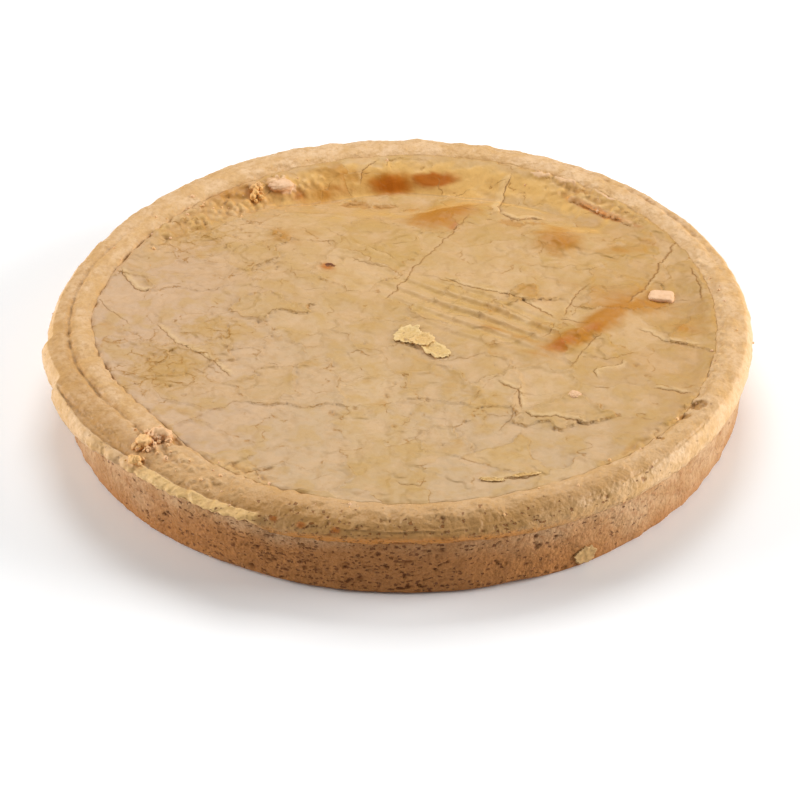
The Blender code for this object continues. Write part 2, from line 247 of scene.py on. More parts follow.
def seamDrop(x, y):
    # how far the surface dives into the grooves that run round the lid
    radius = np.hypot(x, y)
    angle = angleOf(x, y)
    power = np.clip(0.55 + 1.1 * bumps(pairs(x, y), 0.0038, 15), 0.10, 1.2)
    outerDepth = around("outerDepth", angle) * (0.6 + 0.4 * power)
    away = np.abs(radius - seamRadius(angle)) / around("seamHalfWidth", angle)
    outerAway = np.abs(radius - around("outerGroove", angle)) / form["outerHalfWidth"]
    drop = around("seamDepth", angle) * power * np.exp(-(away**1.5)) + outerDepth * np.exp(-(outerAway**1.5))
    lean = np.clip((crevice["leanEnd"] - angle) / 16, 0, 1) ** 1.5
    past = (radius - crevice["radius"] - crevice["lean"] * lean) / crevice["halfWidth"]
    past += 0.8 * power - 0.4
    strength = ease((angle - crevice["start"]) / 3) * ease((crevice["end"] - angle) / 8)
    cleft = crevice["depth"] * np.exp(-(np.abs(past) ** 1.5)) + crevice["drop"] * ease(past)
    return drop + strength * cleft


# the grooves' depth as a share, for the painted shade in them, weaker towards the right
def grooveShade(x, y):
    return seamDrop(x, y) * 700 * (1 - 0.6 * swell(angleOf(x, y), 345, 45))


# Node trees


class Wire:
    # a socket that works in sums: each operator adds its Math node
    def __init__(self, maker, socket):
        self.maker = maker
        self.socket = socket

    def __add__(self, other):
        return self.maker.math("ADD", self, other)

    def __radd__(self, other):
        return self.maker.math("ADD", other, self)

    def __sub__(self, other):
        return self.maker.math("SUBTRACT", self, other)

    def __rsub__(self, other):
        return self.maker.math("SUBTRACT", other, self)

    def __mul__(self, other):
        return self.maker.math("MULTIPLY", self, other)

    def __rmul__(self, other):
        return self.maker.math("MULTIPLY", other, self)

    def output(self, name):
        return Wire(self.maker, self.socket.node.outputs[name])


class Maker:
    # adds nodes to one tree
    def __init__(self, tree):
        self.tree = tree

    def node(self, kind, settings=None, values=None, output=0):
        made = self.tree.nodes.new(kind)
        for name, setting in (settings or {}).items():
            setattr(made, name, setting)
        for key, value in (values or {}).items():
            if isinstance(value, Wire):
                self.tree.links.new(value.socket, made.inputs[key])
            else:
                made.inputs[key].default_value = value
        return Wire(self, made.outputs[output]) if len(made.outputs) else made

    def math(self, operation, first, second=0.0):
        return self.node("ShaderNodeMath", {"operation": operation}, {0: first, 1: second})

    def between(self, value, low, high):
        # 0 below low, 1 above high, smooth in between
        settings = {"interpolation_type": "SMOOTHSTEP"}
        return self.node("ShaderNodeMapRange", settings, {0: value, 1: low, 2: high, 3: 0.0, 4: 1.0})

    def noise(self, place, size, detail=2.0, roughness=0.5):
        values = {"Vector": place, "Scale": 1 / size, "Detail": detail, "Roughness": roughness}
        return self.node("ShaderNodeTexNoise", None, values, "Fac")

    def cells(self, place, size):
        return self.node("ShaderNodeTexVoronoi", None, {"Vector": place, "Scale": 1 / size}, "Distance")

    def vector(self, operation, first, second):
        key = 3 if operation == "SCALE" else 1
        return self.node("ShaderNodeVectorMath", {"operation": operation}, {0: first, key: second})

    def mixColour(self, amount, first, second):
        return self.node("ShaderNodeMix", {"data_type": "RGBA"}, {0: amount, 6: first, 7: second}, 2)

    def stretched(self, place, x, y, z):
        return self.vector("MULTIPLY", place, (x, y, z))

    def turned(self, place, degrees):
        values = {"Vector": place, "Angle": math.radians(degrees)}
        return self.node("ShaderNodeVectorRotate", {"rotation_type": "Z_AXIS"}, values)

    def parts(self, vector):
        return self.node("ShaderNodeSeparateXYZ", None, {0: vector})

    def warped(self, place, size, amount):
        # the place moved about by noise, so that patterns lose their straight lines
        values = {"Vector": place, "Scale": 1 / size, "Detail": 2.0}
        push = self.node("ShaderNodeTexNoise", None, values, "Color")
        centred = self.vector("SUBTRACT", push, (0.5, 0.5, 0.5))
        return self.vector("ADD", place, self.vector("SCALE", centred, amount))


# The skin of the lid dried into plates: their size, and how far their edges wander
plates = {"size": 0.017, "wander": 0.9, "small": 0.0052}


def plateCells(maker, place, size):
    # a random colour for each plate, and the distance to its edge
    flat = maker.stretched(place, 0.8, 1.0, 0.0)
    bent = maker.warped(flat, size * 0.55, size * plates["wander"])
    values = {"Vector": maker.warped(bent, size * 0.09, size * 0.10), "Scale": 1 / size}
    settings = {"voronoi_dimensions": "2D"}
    cell = maker.node("ShaderNodeTexVoronoi", settings, values, "Color")
    settings = dict(settings, feature="DISTANCE_TO_EDGE")
    edge = maker.node("ShaderNodeTexVoronoi", settings, values, "Distance")
    return maker.parts(cell), edge * size


def newTree(name, sockets):
    # a tree that takes and gives geometry: the tree, its maker and its inputs
    tree = bpy.data.node_groups.new(name, "GeometryNodeTree")
    tree.interface.new_socket("Geometry", in_out="OUTPUT", socket_type="NodeSocketGeometry")
    for socket, kind in {"Geometry": "Geometry", **sockets, "Material": "Material"}.items():
        tree.interface.new_socket(socket, in_out="INPUT", socket_type="NodeSocket" + kind)
    maker = Maker(tree)
    return tree, maker, maker.node("NodeGroupInput")


def closeTree(maker, given, geometry):
    values = {"Geometry": geometry, "Material": given.output("Material")}
    maker.node("NodeGroupOutput", None, {0: maker.node("GeometryNodeSetMaterial", None, values)})


reliefSockets = ["Lump Size", "Lump Depth", "Grain Size", "Grain Depth", "Pore Size", "Pore Depth"]
reliefSockets += ["Pore Share", "Clod Size", "Clod Depth", "Plate Step", "Plate Curl"]


def crustRelief():
    # fine relief of baked crust; "pit", "clod" and "grain" are kept for the colour, which puts painted shade
    # in pits, crevices and hollows
    tree, maker, given = newTree("crustRelief", dict.fromkeys(reliefSockets, "Float"))
    place = maker.node("GeometryNodeInputPosition")

    def stored(name):
        return maker.node("GeometryNodeInputNamedAttribute", None, {"Name": name})

    def scaled(size):
        return maker.vector("SCALE", place, maker.math("DIVIDE", 1.0, given.output(size)))

    # lumps and grain
    lump = maker.noise(scaled("Lump Size"), 1.0)
    grain = maker.noise(scaled("Grain Size"), 1.0, 3.0, 0.6)
    height = (lump - 0.5) * given.output("Lump Depth") + (grain - 0.5) * given.output("Grain Depth")

    # pores and short cracks, wider than they are high
    bent = maker.warped(maker.stretched(scaled("Pore Size"), 1.0, 1.0, 1.5), 0.7, 0.9)
    cell = maker.cells(bent, 1.0)
    pick = maker.parts(cell.output("Color"))
    width = 0.10 + 0.40 * pick.output("Y") * pick.output("Y") + (grain - 0.5) * 0.9
    share = given.output("Pore Share") * stored("porous")
    pore = maker.between(width - cell, 0.0, 0.16) * maker.math("LESS_THAN", pick, share)
    split = maker.noise(maker.stretched(scaled("Pore Size"), 0.42, 0.42, 1.5), 1.0, 4.0, 0.65)
    split = maker.between(split + (stored("porous") - 1.0) * 0.16, 0.60, 0.67)
    pit = maker.math("MAXIMUM", pore, split * 0.7)
    height = height - pit * given.output("Pore Depth")

    # clods with crevices between them, where the crust has crumbled
    loose = maker.between(stored("crumbly") + (lump - 0.5) * 0.8, 0.15, 0.75)
    clod = maker.between(maker.cells(maker.warped(scaled("Clod Size"), 0.9, 0.5), 1.0), 0.15, 0.75) * loose
    height = height + (0.35 * loose - clod) * given.output("Clod Depth")

    # plates of skin at slightly different heights, some with a curled edge
    for size, amount in ((plates["size"], stored("plated")), (plates["small"], stored("crackle") * 0.7)):
        pick, edge = plateCells(maker, place, size)
        rise = (pick - 0.5) * given.output("Plate Step")
        curl = maker.between(pick.output("Y"), 0.5, 0.6) * (1.0 - maker.between(edge, 0.0, 0.0018))
        height = height + (rise + curl * given.output("Plate Curl")) * amount
    height = height * stored("relief")

    push = maker.vector("SCALE", maker.node("GeometryNodeInputNormal"), height)
    moved = maker.node("GeometryNodeSetPosition", None, {"Geometry": given, "Offset": push})
    kinds = {"data_type": "FLOAT", "domain": "POINT"}
    for name, value in (("pit", pit), ("clod", clod), ("grain", grain)):
        values = {"Geometry": moved, "Name": name, "Value": value * stored("relief")}
        moved = maker.node("GeometryNodeStoreNamedAttribute", kinds, values)
    closeTree(maker, given, moved)
    return tree


def runTree(host, tree, settings):
    # puts the tree on the object with these inputs, and keeps the result as a plain mesh
    modifier = host.modifiers.new(tree.name, "NODES")
    modifier.node_group = tree
    for item in tree.interface.items_tree:
        if item.in_out == "INPUT" and item.name in settings:
            modifier[item.identifier] = settings[item.name]
    evaluated = host.evaluated_get(bpy.context.evaluated_depsgraph_get())
    mesh = bpy.data.meshes.new_from_object(evaluated)
    host.modifiers.remove(modifier)
    host.data = mesh
    mesh.name = host.name
    return host


# Meshes


class Surface:
    # gathers points and triangles of one mesh, with numbers stored at each point
    def __init__(self):
        self.points = []
        self.triangles = []
        self.stored = []
        self.count = 0

    def addPoints(self, points, **stored):
        numbers = np.arange(self.count, self.count + len(points))
        self.points.append(np.asarray(points))
        self.stored.append({name: np.broadcast_to(value, len(points)) for name, value in stored.items()})
        self.count += len(points)
        return numbers

    def addTriangles(self, triangles):
        self.triangles.append(np.asarray(triangles, dtype=int).reshape(-1, 3))

    def addBand(self, lower, upper):
        # two rings of equal length, faces outward where upper follows lower along the profile
        nextLower = np.roll(lower, -1)
        nextUpper = np.roll(upper, -1)
        self.addTriangles(np.stack([lower, nextLower, nextUpper], axis=-1))
        self.addTriangles(np.stack([lower, nextUpper, upper], axis=-1))

    def build(self, name):
        mesh = bpy.data.meshes.new(name)
        points = np.concatenate(self.points)
        mesh.from_pydata(points.tolist(), [], np.concatenate(self.triangles).tolist())
        blanks = [np.zeros(len(part)) for part in self.points]
        for key in sorted({key for stored in self.stored for key in stored}):
            values = [stored.get(key, blank) for stored, blank in zip(self.stored, blanks)]
            attribute = mesh.attributes.new(key, "FLOAT", "POINT")
            attribute.data.foreach_set("value", np.concatenate(values).astype(np.float32))
        mesh.shade_smooth()
        made = bpy.data.objects.new(name, mesh)
        bpy.context.scene.collection.objects.link(made)
        return made


def hexGrid(radius, step, jitter, seed):
    # points in rows of triangles within the radius, each moved a little at random
    rows = np.arange(-math.ceil(radius / step * 1.2), math.ceil(radius / step * 1.2) + 1)
    column, row = np.meshgrid(rows, rows)
    x = (column + 0.5 * (row % 2)) * step
    y = row * step * math.sqrt(3) / 2
    points = pairs(x.ravel(), y.ravel())
    points = points[np.hypot(*points.T) < radius]
    return points + np.random.default_rng(seed).uniform(-jitter, jitter, points.shape) * step


def fillRing(ring, inner):
    # triangles over the ring and the points inside it: positions, triangles, the ring's place in them
    points = [Vector(point) for point in ring.tolist()] + [Vector(point) for point in inner.tolist()]
    count = len(ring)
    edges = [(number, (number + 1) % count) for number in range(count)]
    positions, _, triangles, originals, _, _ = delaunay_2d_cdt(points, edges, [], 1, 1e-9, True)
    ranks = np.zeros(count, dtype=int)
    for number, sources in enumerate(originals):
        for source in sources:
            if source < count:
                ranks[source] = number
    positions = np.array([tuple(position) for position in positions])
    triangles = np.array(triangles)
    middle = positions[triangles].mean(axis=1).T
    limit = np.interp(angleOf(*middle), angleOf(*ring.T), np.hypot(*ring.T), period=360)
    return positions, triangles[np.hypot(*middle) < limit], ranks


# Cracks of the lid's skin: points along each and half width, in millimetres, then its depth and how far one
# edge curls up, as shares of the deepest and the highest, and how broken the line is
cracks = [
    ([(25, 68), (21, 61), (16, 52), (6, 36), (-2, 20), (-6, 14)], 0.50, 0.7, 0.1, 0.3),
    ([(8, 83), (4, 68), (2, 64)], 0.25, 0.3, 0.1, 0.5),
    ([(38, -23), (34, -30), (29, -37), (21, -52)], 0.3, 0.4, 0.0, 0.6),
    ([(37, -49), (36, -57), (31, -66)], 0.35, 0.5, 0.1, 0.4),
    ([(97, 48), (94, 40), (90, 32), (86, 22), (77, 8)], 0.75, 0.9, 0.25, 0.15),
    ([(100, 31), (102, 25), (103, 17), (103, 9)], 0.50, 0.8, 0.2, 0.15),
    ([(14, 27), (24, 20), (36, 16), (46, 8), (52, 0)], 0.50, 0.7, 0.3, 0.15),
    ([(52, 0), (58, -1), (64, -6)], 0.4, 0.6, 0.2, 0.3),
    ([(55, 1), (58, 10), (61, 16), (64, 20)], 0.5, 0.7, 0.2, 0.25),
    ([(52, -1), (51, -7), (47, -12)], 0.35, 0.5, 0.2, 0.3),
    ([(68, -9), (63, -16), (59, -23), (56, -29)], 0.4, 0.6, 0.2, 0.3),
    ([(31, -36), (35, -39), (38, -43), (39, -53)], 0.55, 0.9, 0.4, 0.1),
    ([(39, -53), (42, -58), (51, -58), (61, -62)], 0.5, 0.8, 0.4, 0.2),
    ([(74, -24), (73, -27), (65, -30), (64, -32), (65, -36)], 0.35, 0.7, 0.4, 0.2),
    ([(82, -42), (86, -42), (90, -44), (96, -46)], 0.45, 0.8, 0.4, 0.2),
    ([(79, -6), (84, -9), (88, -14), (94, -16), (101, -17)], 0.3, 0.5, 0.4, 0.3),
    ([(-98, 32), (-96, 26), (-93, 21), (-90, 18), (-85, 19)], 0.35, 0.7, 0.5, 0.1),
    ([(-106, 13), (-99, 5), (-92, -4)], 0.3, 0.5, 0.2, 0.3),
    ([(-84, -1), (-77, -13), (-66, -22), (-57, -34)], 0.35, 0.7, 0.4, 0.3),
    ([(40.2, 93.9), (37.5, 87.7), (35, 75), (35.2, 70)], 0.45, 0.7, -0.7, 0.1),
    ([(34.5, 71), (38.1, 68.4), (41.2, 65.1), (45.9, 66.9), (51.6, 67.3)], 0.6, 0.9, 0.9, 0.1),
    ([(59, 79), (64, 75), (73, 66), (82, 57)], 0.45, 0.5, 0.8, 0.1),
    ([(-23.5, 81.5), (-18.5, 84.8), (-12.5, 84.5)], 0.7, 0.9, 0.3, 0.1),
    ([(-11, 83), (-6, 83.8), (-1, 82.5)], 0.6, 0.8, 0.3, 0.1),
    ([(-15, 91.5), (-14.5, 96), (-12, 99.5), (-8, 103)], 0.35, 0.6, 0.3, 0.2),
    ([(28, -93), (33, -92), (36, -92.5), (43, -90)], 0.5, 0.7, 0.4, 0.1),
    ([(-49, -87), (-45, -87), (-42, -85)], 0.6, 0.7, 0.2, 0.0),
    ([(-29, 61), (-25, 57), (-20, 52), (-18, 47)], 0.3, 0.4, 0.2, 0.5),
    ([(-1, 36), (-4, 40), (-13, 47), (-18, 49)], 0.3, 0.4, 0.3, 0.4),
    ([(-3, -92), (0, -95), (5, -96), (7, -91)], 0.35, 0.5, 0.2, 0.2),
    ([(-28, 51), (-33, 56), (-36, 61)], 0.35, 0.4, 0.1, 0.4),
    ([(-23, -88), (-27, -91), (-29, -92)], 0.35, 0.4, 0.1, 0.3),
    ([(-20, 41), (-13, 36), (-6, 33), (0, 28)], 0.3, 0.4, 0.2, 0.5),
    ([(27, 12), (34, 9), (40, 3), (47, -2)], 0.25, 0.3, 0.2, 0.5),
]
crackForm = {
    "step": 0.0005,  # between points along a crack
    "rows": (0.00045, 0.0010),  # further rows of points on both sides of it
    "reach": 0.006, "curlReach": 0.0022,  # how far from its line it and its curled edge change the skin
    "deepest": 1 / 4500, "highest": 1 / 1100,
}


def crackLine(points, seed):
    # the crack as closely spaced points with a jagged wander
    points = np.array(points) / 1000
    lengths = np.hypot(*np.diff(points, axis=0).T)
    reached = np.concatenate([[0], np.cumsum(lengths)])
    along = np.linspace(0, reached[-1], max(4, int(reached[-1] / crackForm["step"])))
    line = pairs(*(np.interp(along, reached, part) for part in points.T))
    heading = np.gradient(line, axis=0)
    heading /= np.maximum(np.hypot(*heading.T), 1e-9)[:, None]
    aside = pairs(-heading[:, 1], heading[:, 0])
    wander = 0.0008 * bumps(line, 0.005, seed) + 0.0007 * bumps(line, 0.0016, seed + 40)
    fade = np.minimum(1, np.minimum(along, along[-1] - along) / 0.003)
    return line + aside * (wander * fade)[:, None], aside, fade


def nearestOnLine(points, line):
    # distance to the line, the number of its nearest step, and which side the point is on
    start = line[:-1]
    span = np.diff(line, axis=0)
    offset = points[:, None, :] - start[None]
    share = np.clip((offset * span).sum(-1) / np.maximum((span**2).sum(-1), 1e-12), 0, 1)
    gap = offset - share[..., None] * span
    distance = np.hypot(gap[..., 0], gap[..., 1])
    step = distance.argmin(axis=1)
    rows = np.arange(len(points))
    cross = span[step, 0] * offset[rows, step, 1] - span[step, 1] * offset[rows, step, 0]
    return distance[rows, step], step, np.sign(cross)


def crackField(points, lines):
    # for each point: distance to a crack in half widths, its strength, and the height to add
    span = np.full(len(points), 8.0)
    strength = np.zeros(len(points))
    height = np.zeros(len(points))
    lifted = np.zeros(len(points))
    for number, ((line, _, fade), (_, width, depth, lift, broken)) in enumerate(zip(lines, cracks)):
        near = (points > line.min(axis=0) - crackForm["reach"]).all(axis=1)
        near &= (points < line.max(axis=0) + crackForm["reach"]).all(axis=1)
        chosen = np.flatnonzero(near)
        if not len(chosen):
            continue
        distance, step, side = nearestOnLine(points[chosen], line)
        gaps = 0.5 + 0.5 * bumps(line, 0.003, number + 80)
        power = (fade * np.clip(1.35 - broken * 2.6 * gaps, 0, 1))[step]
        halfWidth = width / 1000 * (0.45 + 0.7 * gaps)[step]
        height[chosen] -= depth * crackForm["deepest"] * power * bell(distance / halfWidth)
        curl = abs(lift) * crackForm["highest"] * power
        curl *= np.exp(-((distance / crackForm["curlReach"]) ** 1.5))
        curl *= side * np.sign(lift) > 0
        # how far an edge curls up, kept for its painted highlight
        lifted[chosen] = np.maximum(lifted[chosen], curl * 2000)
        height[chosen] += curl * (1 - bell(distance / 0.0004))
        relative = distance / halfWidth
        closer = relative < span[chosen]
        span[chosen] = np.where(closer, relative, span[chosen])
        strength[chosen] = np.where(closer, power * min(1.0, 0.35 + depth), strength[chosen])
    return span, strength, height, lifted


# Stains of the lid: centre and reach in millimetres, turn, strength
stains = {
    "brown": [
        ((16, 69), (13, 8), 25, 1.0),
        ((56, 50), (11, 13.5), 15, 0.70),
        ((74, 44), (13, 8), 20, 0.40),
        ((58.2, -13.3), (11, 4.8), 32, 1.05),
        ((69, -1), (14, 5.5), 50, 1.0),
        ((80, 8), (16, 10), 0, 0.5),
        ((96, -6), (10, 12), 0, 0.30),
        ((86, 46), (10, 6), 40, 0.35),
        ((-3.5, 94), (12, 4), 2, 0.9),
        ((-40, 55), (12, 8), 0, 0.4),
        ((-26.5, 34.5), (3.5, 3), 0, 0.6),
        ((-60, 82), (14, 6), 25, 0.5),
        ((52, 20), (30, 20), 0, 0.25),
        ((-30, 88), (10, 5), 0, 0.4),
        ((-18, 95.5), (14, 4), 0, 0.6),
        ((13, 78), (14, 5), 0, 0.45),
    ],
    "hot": [
        ((11, 94.5), (8.5, 2.2), -4, 1.3),
        ((-3.5, 93.5), (9, 3.2), 2, 1.0),
        ((-37, 85.8), (3, 2.6), 14, 0.55),
        ((-20, 90.5), (10, 2.2), 6, 0.35),
        ((71, 69), (16, 1.4), -43, 1.30),
        ((55.5, -15.2), (6.6, 3.2), 30, 0.65),
        ((63.2, -9.3), (9, 2.6), 38, 0.45),
        ((-26, 34.6), (2.6, 2.6), 0, 0.8),
        ((-53, 83), (4, 3), 0, 0.6),
        ((20, 62), (7, 1.4), 60, 0.5),
    ],
    "burnt": [
        ((-25.5, 35.2), (1.4, 1.2), 20, 1.6),
        ((-24, 34.6), (0.9, 0.8), 0, 1.2),
    ],
    "yellow": [
        ((-36, 57), (12, 6), 10, 0.8),
        ((29, -47), (8, 9), 0, 0.7),
        ((47, -52), (9, 6), 0, 0.6),
        ((100, -17), (7, 5), 0, 0.7),
        ((-88, 40), (8, 10), 0, 0.6),
        ((3, 52), (14, 10), 0, 0.5),
        ((75, 30), (16, 10), 0, 0.5),
        ((45, 84), (12, 5), -10, 0.5),
        ((-62, 44), (10, 8), 0, 0.5),
        ((92, -30), (8, 8), 0, 0.4),
        ((26, 4), (38, 14), -34, 0.25),
        ((0, 92), (60, 10), 0, 0.5),
        ((-80, -31), (15, 15), 0, 1.0),
        ((-60, -4), (14, 9), -20, 0.6),
        ((-72, 55), (16, 10), 20, 0.6),
    ],
    "crackle": [
        ((-79, -29), (19, 21), 0, 1.0),
        ((-62, -6), (18, 14), 0, 0.8),
        ((-70, 55), (24, 16), 20, 0.9),
        ((-45, 30), (30, 20), 0, 0.45),
        ((20, -55), (26, 14), 0, 0.5),
        ((-20, -40), (34, 24), 0, 0.35),
        ((0, 75), (20, 8), 0, 0.3),
    ],
}
# small holes torn in the skin, pits in the rim, and a few raised patches, in millimetres: centre, reach,
# turn, depth
tears = [
    ((-16.2, 83.8), (5.6, 2.8), -6, 0.7),
    ((-6.5, 83), (5, 1.8), 4, 0.6),
    ((40, 62.5), (5.2, 3), -20, 0.6),
    ((48, 64), (4.6, 1.6), 6, 0.5),
    ((97.6, -53.6), (2.8, 2.2), 20, 1.1),
    ((92.5, -59), (2.4, 1.4), 30, 0.8),
    ((83.4, -71.3), (1.6, 1.1), 0, 0.8),
    ((99, -76), (1.4, 3), -10, 0.7),
    ((89, -80.5), (1.8, 1.2), 20, 0.6),
    ((78.5, -90), (4.2, 0.8), 38, 0.6),
    ((108.5, -53.5), (1.2, 2), 0, 0.6),
    ((-73.5, -71.5), (2.6, 1.2), -60, 0.9),
    ((-44, -86.2), (2.2, 0.9), 8, 0.3),
    ((-45, 96), (5, 1.6), 12, 0.3),
    ((-28, 101), (6, 1.8), 8, 0.2),
    ((69, 80), (7, 2.2), -38, 0.3),
    ((57, 87), (4, 1.6), -30, 0.3),
    ((64, 81.2), (5, 1.2), -40, 0.5),
    ((-44, 87.8), (5.6, 3.6), 10, -0.9),
    ((60, 85.8), (6, 1.8), -36, -0.8),
    ((50, 90.8), (5, 1.6), -28, -0.6),
    ((73.5, 76.5), (5.2, 1.6), -45, -0.8),
]


def tearDepth(x, y):
    drop = np.zeros_like(x)
    ragged = 0.45 * bumps(pairs(x, y), 0.0016, 33) + 0.35 * bumps(pairs(x, y), 0.0045, 34)
    for centre, reach, turn, depth in tears:
        drop += depth * ease((1.15 + ragged - ovalDistance(x, y, centre, reach, turn)) / 0.35)
    return drop / 1000


# where the crust has crumbled: angle, half turn, radius and half width in millimetres, strength
crumbled = [
    (47, 16, 103.5, 6, 0.85),
    (130, 24, 97, 8.5, 0.95),
    (96, 16, 103, 5, 0.35),
    (-20, 22, 108.5, 2.5, 0.9),
    (-45, 10, 107.5, 3.5, 0.7),
    (222, 9, 108, 5, 1.0),
    (240, 8, 102, 4.5, 0.8),
    (165, 30, 112.5, 2.5, 0.3),
    (272, 42, 111, 6, 0.55),
    (233, 15, 110.5, 7.5, 0.90),
    (4, 36, 108.2, 2.4, 0.75),
    (-42, 26, 111, 6, 0.45),
    (145, 34, 111, 5, 0.36),
    (52, 30, 109.5, 4.5, 0.30),
]


def stained(kind, x, y):
    value = np.zeros_like(x)
    for centre, reach, turn, strength in stains[kind]:
        value = np.maximum(value, strength * bell(ovalDistance(x, y, centre, reach, turn)))
    return value


def crumbliness(x, y):
    radius = np.hypot(x, y)
    angle = angleOf(x, y)
    value = 0.35 * bell((radius - seamRadius(angle) - 0.001) / 0.0022)
    for middle, halfTurn, ring, halfWidth, strength in crumbled:
        spread = swell(angle, middle, halfTurn) * bell((radius * 1000 - ring) / halfWidth)
        value = np.maximum(value, strength * spread)
    return value


def steepness(x, y):
    # how steeply the lid's base form slopes there
    step = 0.0006
    across = lidHeight(x + step, y) - lidHeight(x - step, y)
    along = lidHeight(x, y + step) - lidHeight(x, y - step)
    return np.hypot(across, along) / (2 * step)


# The lid's skin, inside the seam
skin = {
    "step": 0.00068, "ringSteps": 1000, "thickness": 0.0035,
    "edgeRows": (0.0004, 0.0009, 0.0015), "rowGap": 0.00028,
    "relief": {
        "Lump Size": 0.0085, "Lump Depth": 0.0011, "Grain Size": 0.0020, "Grain Depth": 0.00022,
        "Pore Size": 0.0026, "Pore Depth": 0.0005, "Pore Share": 0.5,
        "Clod Size": 0.0030, "Clod Depth": 0.0011, "Plate Step": 0.0006, "Plate Curl": 0.0005,
    },
}


def firstNear(placed, point, number, clearance):
    # whether no earlier point lies within the clearance
    return all(other >= number for _, other, _ in placed.find_range((*point, 0.0), clearance))


def makeSkin(reliefTree, material):
    lines = [crackLine(points, seed) for seed, (points, *_) in enumerate(cracks)]
    angles = np.linspace(0, 360, skin["ringSteps"], endpoint=False)
    ring = onCircle(seamRadius(angles), angles)
    rows = [line + aside * offset for line, aside, _ in lines for offset in (0.0, *crackForm["rows"])]
    rows += [line - aside * offset for line, aside, _ in lines for offset in crackForm["rows"]]
    rows += [onCircle(seamRadius(angles) - inset, angles) for inset in skin["edgeRows"]]
    rows = np.concatenate(rows)
    rows = rows[np.hypot(*rows.T) < seamRadius(angleOf(*rows.T)) - 0.0003]
    numbered = list(enumerate(rows.tolist()))
    placed = kdtree.KDTree(len(rows))
    for number, point in numbered:
        placed.insert((*point, 0.0), number)
    placed.balance()
    spaced = [point for number, point in numbered if firstNear(placed, point, number, skin["rowGap"])]
    grid = hexGrid(0.112, skin["step"], 0.12, 5)
    grid = grid[np.hypot(*grid.T) < seamRadius(angleOf(*grid.T)) - 0.0018]
    grid = [point for point in grid.tolist() if placed.find((*point, 0.0))[2] > skin["step"] * 0.55]
    positions, triangles, ranks = fillRing(ring, np.array(spaced + grid))
    x, y = positions.T
    span, strength, crackHeight, lifted = crackField(positions, lines)
    surface = Surface()
    edge = ease((seamRadius(angleOf(x, y)) - np.hypot(x, y)) / 0.002)
    crackle = stained("crackle", x, y)
    upper = surface.addPoints(
        np.column_stack([x, y, lidHeight(x, y) - seamDrop(x, y) - tearDepth(x, y) + crackHeight]),
        relief=0.25 + 0.75 * edge,
        porous=0.02 + 0.8 * crackle,
        plated=np.clip(edge * (1 - 1.6 * steepness(x, y)), 0, 1),
        crumbly=crumbliness(x, y),
        groove=grooveShade(x, y),
        steep=steepness(x, y) * ease((y - 0.030) / 0.020),
        crackSpan=span,
        crackStrength=strength,
        lifted=lifted,
        tear=tearDepth(x, y) * 1600,
        crackle=crackle,
        scatter=0.03 + crumbliness(x, y),
        trough=0.5 - rippled(x, y) * 700,
        **{kind: stained(kind, x, y) for kind in ("brown", "hot", "burnt", "yellow")},
    )
    surface.addTriangles(triangles)
    under, underTriangles, underRanks = fillRing(ring, hexGrid(0.098, 0.006, 0.0, 1))
    underHeight = lidHeight(*under.T) - skin["thickness"]
    lower = surface.addPoints(np.column_stack([under, underHeight]), relief=0.0, crackSpan=8.0)
    surface.addTriangles(lower[underTriangles][:, ::-1])
    surface.addBand(lower[underRanks], upper[ranks])
    return runTree(surface.build("lidSkin"), reliefTree, dict(skin["relief"], Material=material))


# The rim: crown, band and the lip that laps over the side
rim = {
    "steps": 1500, "crownRows": 28, "bandRows": 17, "lipRows": 3, "shoulder": 0.0020,
    "tucked": 0.0013,  # how far the lid's lower edge is drawn in at the front
    "tornBulge": 0.0017, "tornFold": 0.0007, "frontSplit": 0.0007, "creaseCut": 0.0004,
    "relief": {
        "Lump Size": 0.0065, "Lump Depth": 0.0013, "Grain Size": 0.0018, "Grain Depth": 0.00060,
        "Pore Size": 0.0024, "Pore Depth": 0.0004, "Pore Share": 0.6,
        "Clod Size": 0.0029, "Clod Depth": 0.0008, "Plate Step": 0.0, "Plate Curl": 0.0,
    },
}
# brown bubbles on the band: angle and height
bandSpots = [(249.5, 0.0262), (254.0, 0.0258), (259.5, 0.0256)]


def crownStores(x, y, angles, speckled, relief):
    outer = ease((np.hypot(x, y) - 0.1070) / 0.008)
    browned = 0.24 + 0.76 * swell(angles, 258, 56) + 0.12 * swell(angles, 165, 48)
    return {
        "porous": speckled * 0.40 * outer,
        "crumbly": crumbliness(x, y),
        "groove": grooveShade(x, y),
        "toasted": (0.60 + 0.35 * outer) * browned * relief,
        "tear": tearDepth(x, y) * 1600,
        "scatter": 0.10 + crumbliness(x, y),
    }


def bandStores(height, angles, speckled, relief):
    torn = tornLip(angles)
    bubbles = [swell(angles, at, 0.9) * bell((height - level) / 0.0012) for at, level in bandSpots]
    return {
        "porous": speckled,
        "crumbly": 0.15 + 0.10 * swell(angles, 268, 60) + 0.15 * swell(angles, 318, 26) + 0.2 * torn,
        "toasted": 0.9 * swell(angles, 268, 46) * relief,
        "torn": torn * ease((angles - 216) / 14) * relief,
        "low": swell(angles, 270, 28) * ease(1.15 - (height - ledgeHeight(angles)) / 0.0050),
        "spot": sum(bubbles),
        "scatter": (0.12 + 0.45 * torn) * relief,
    }


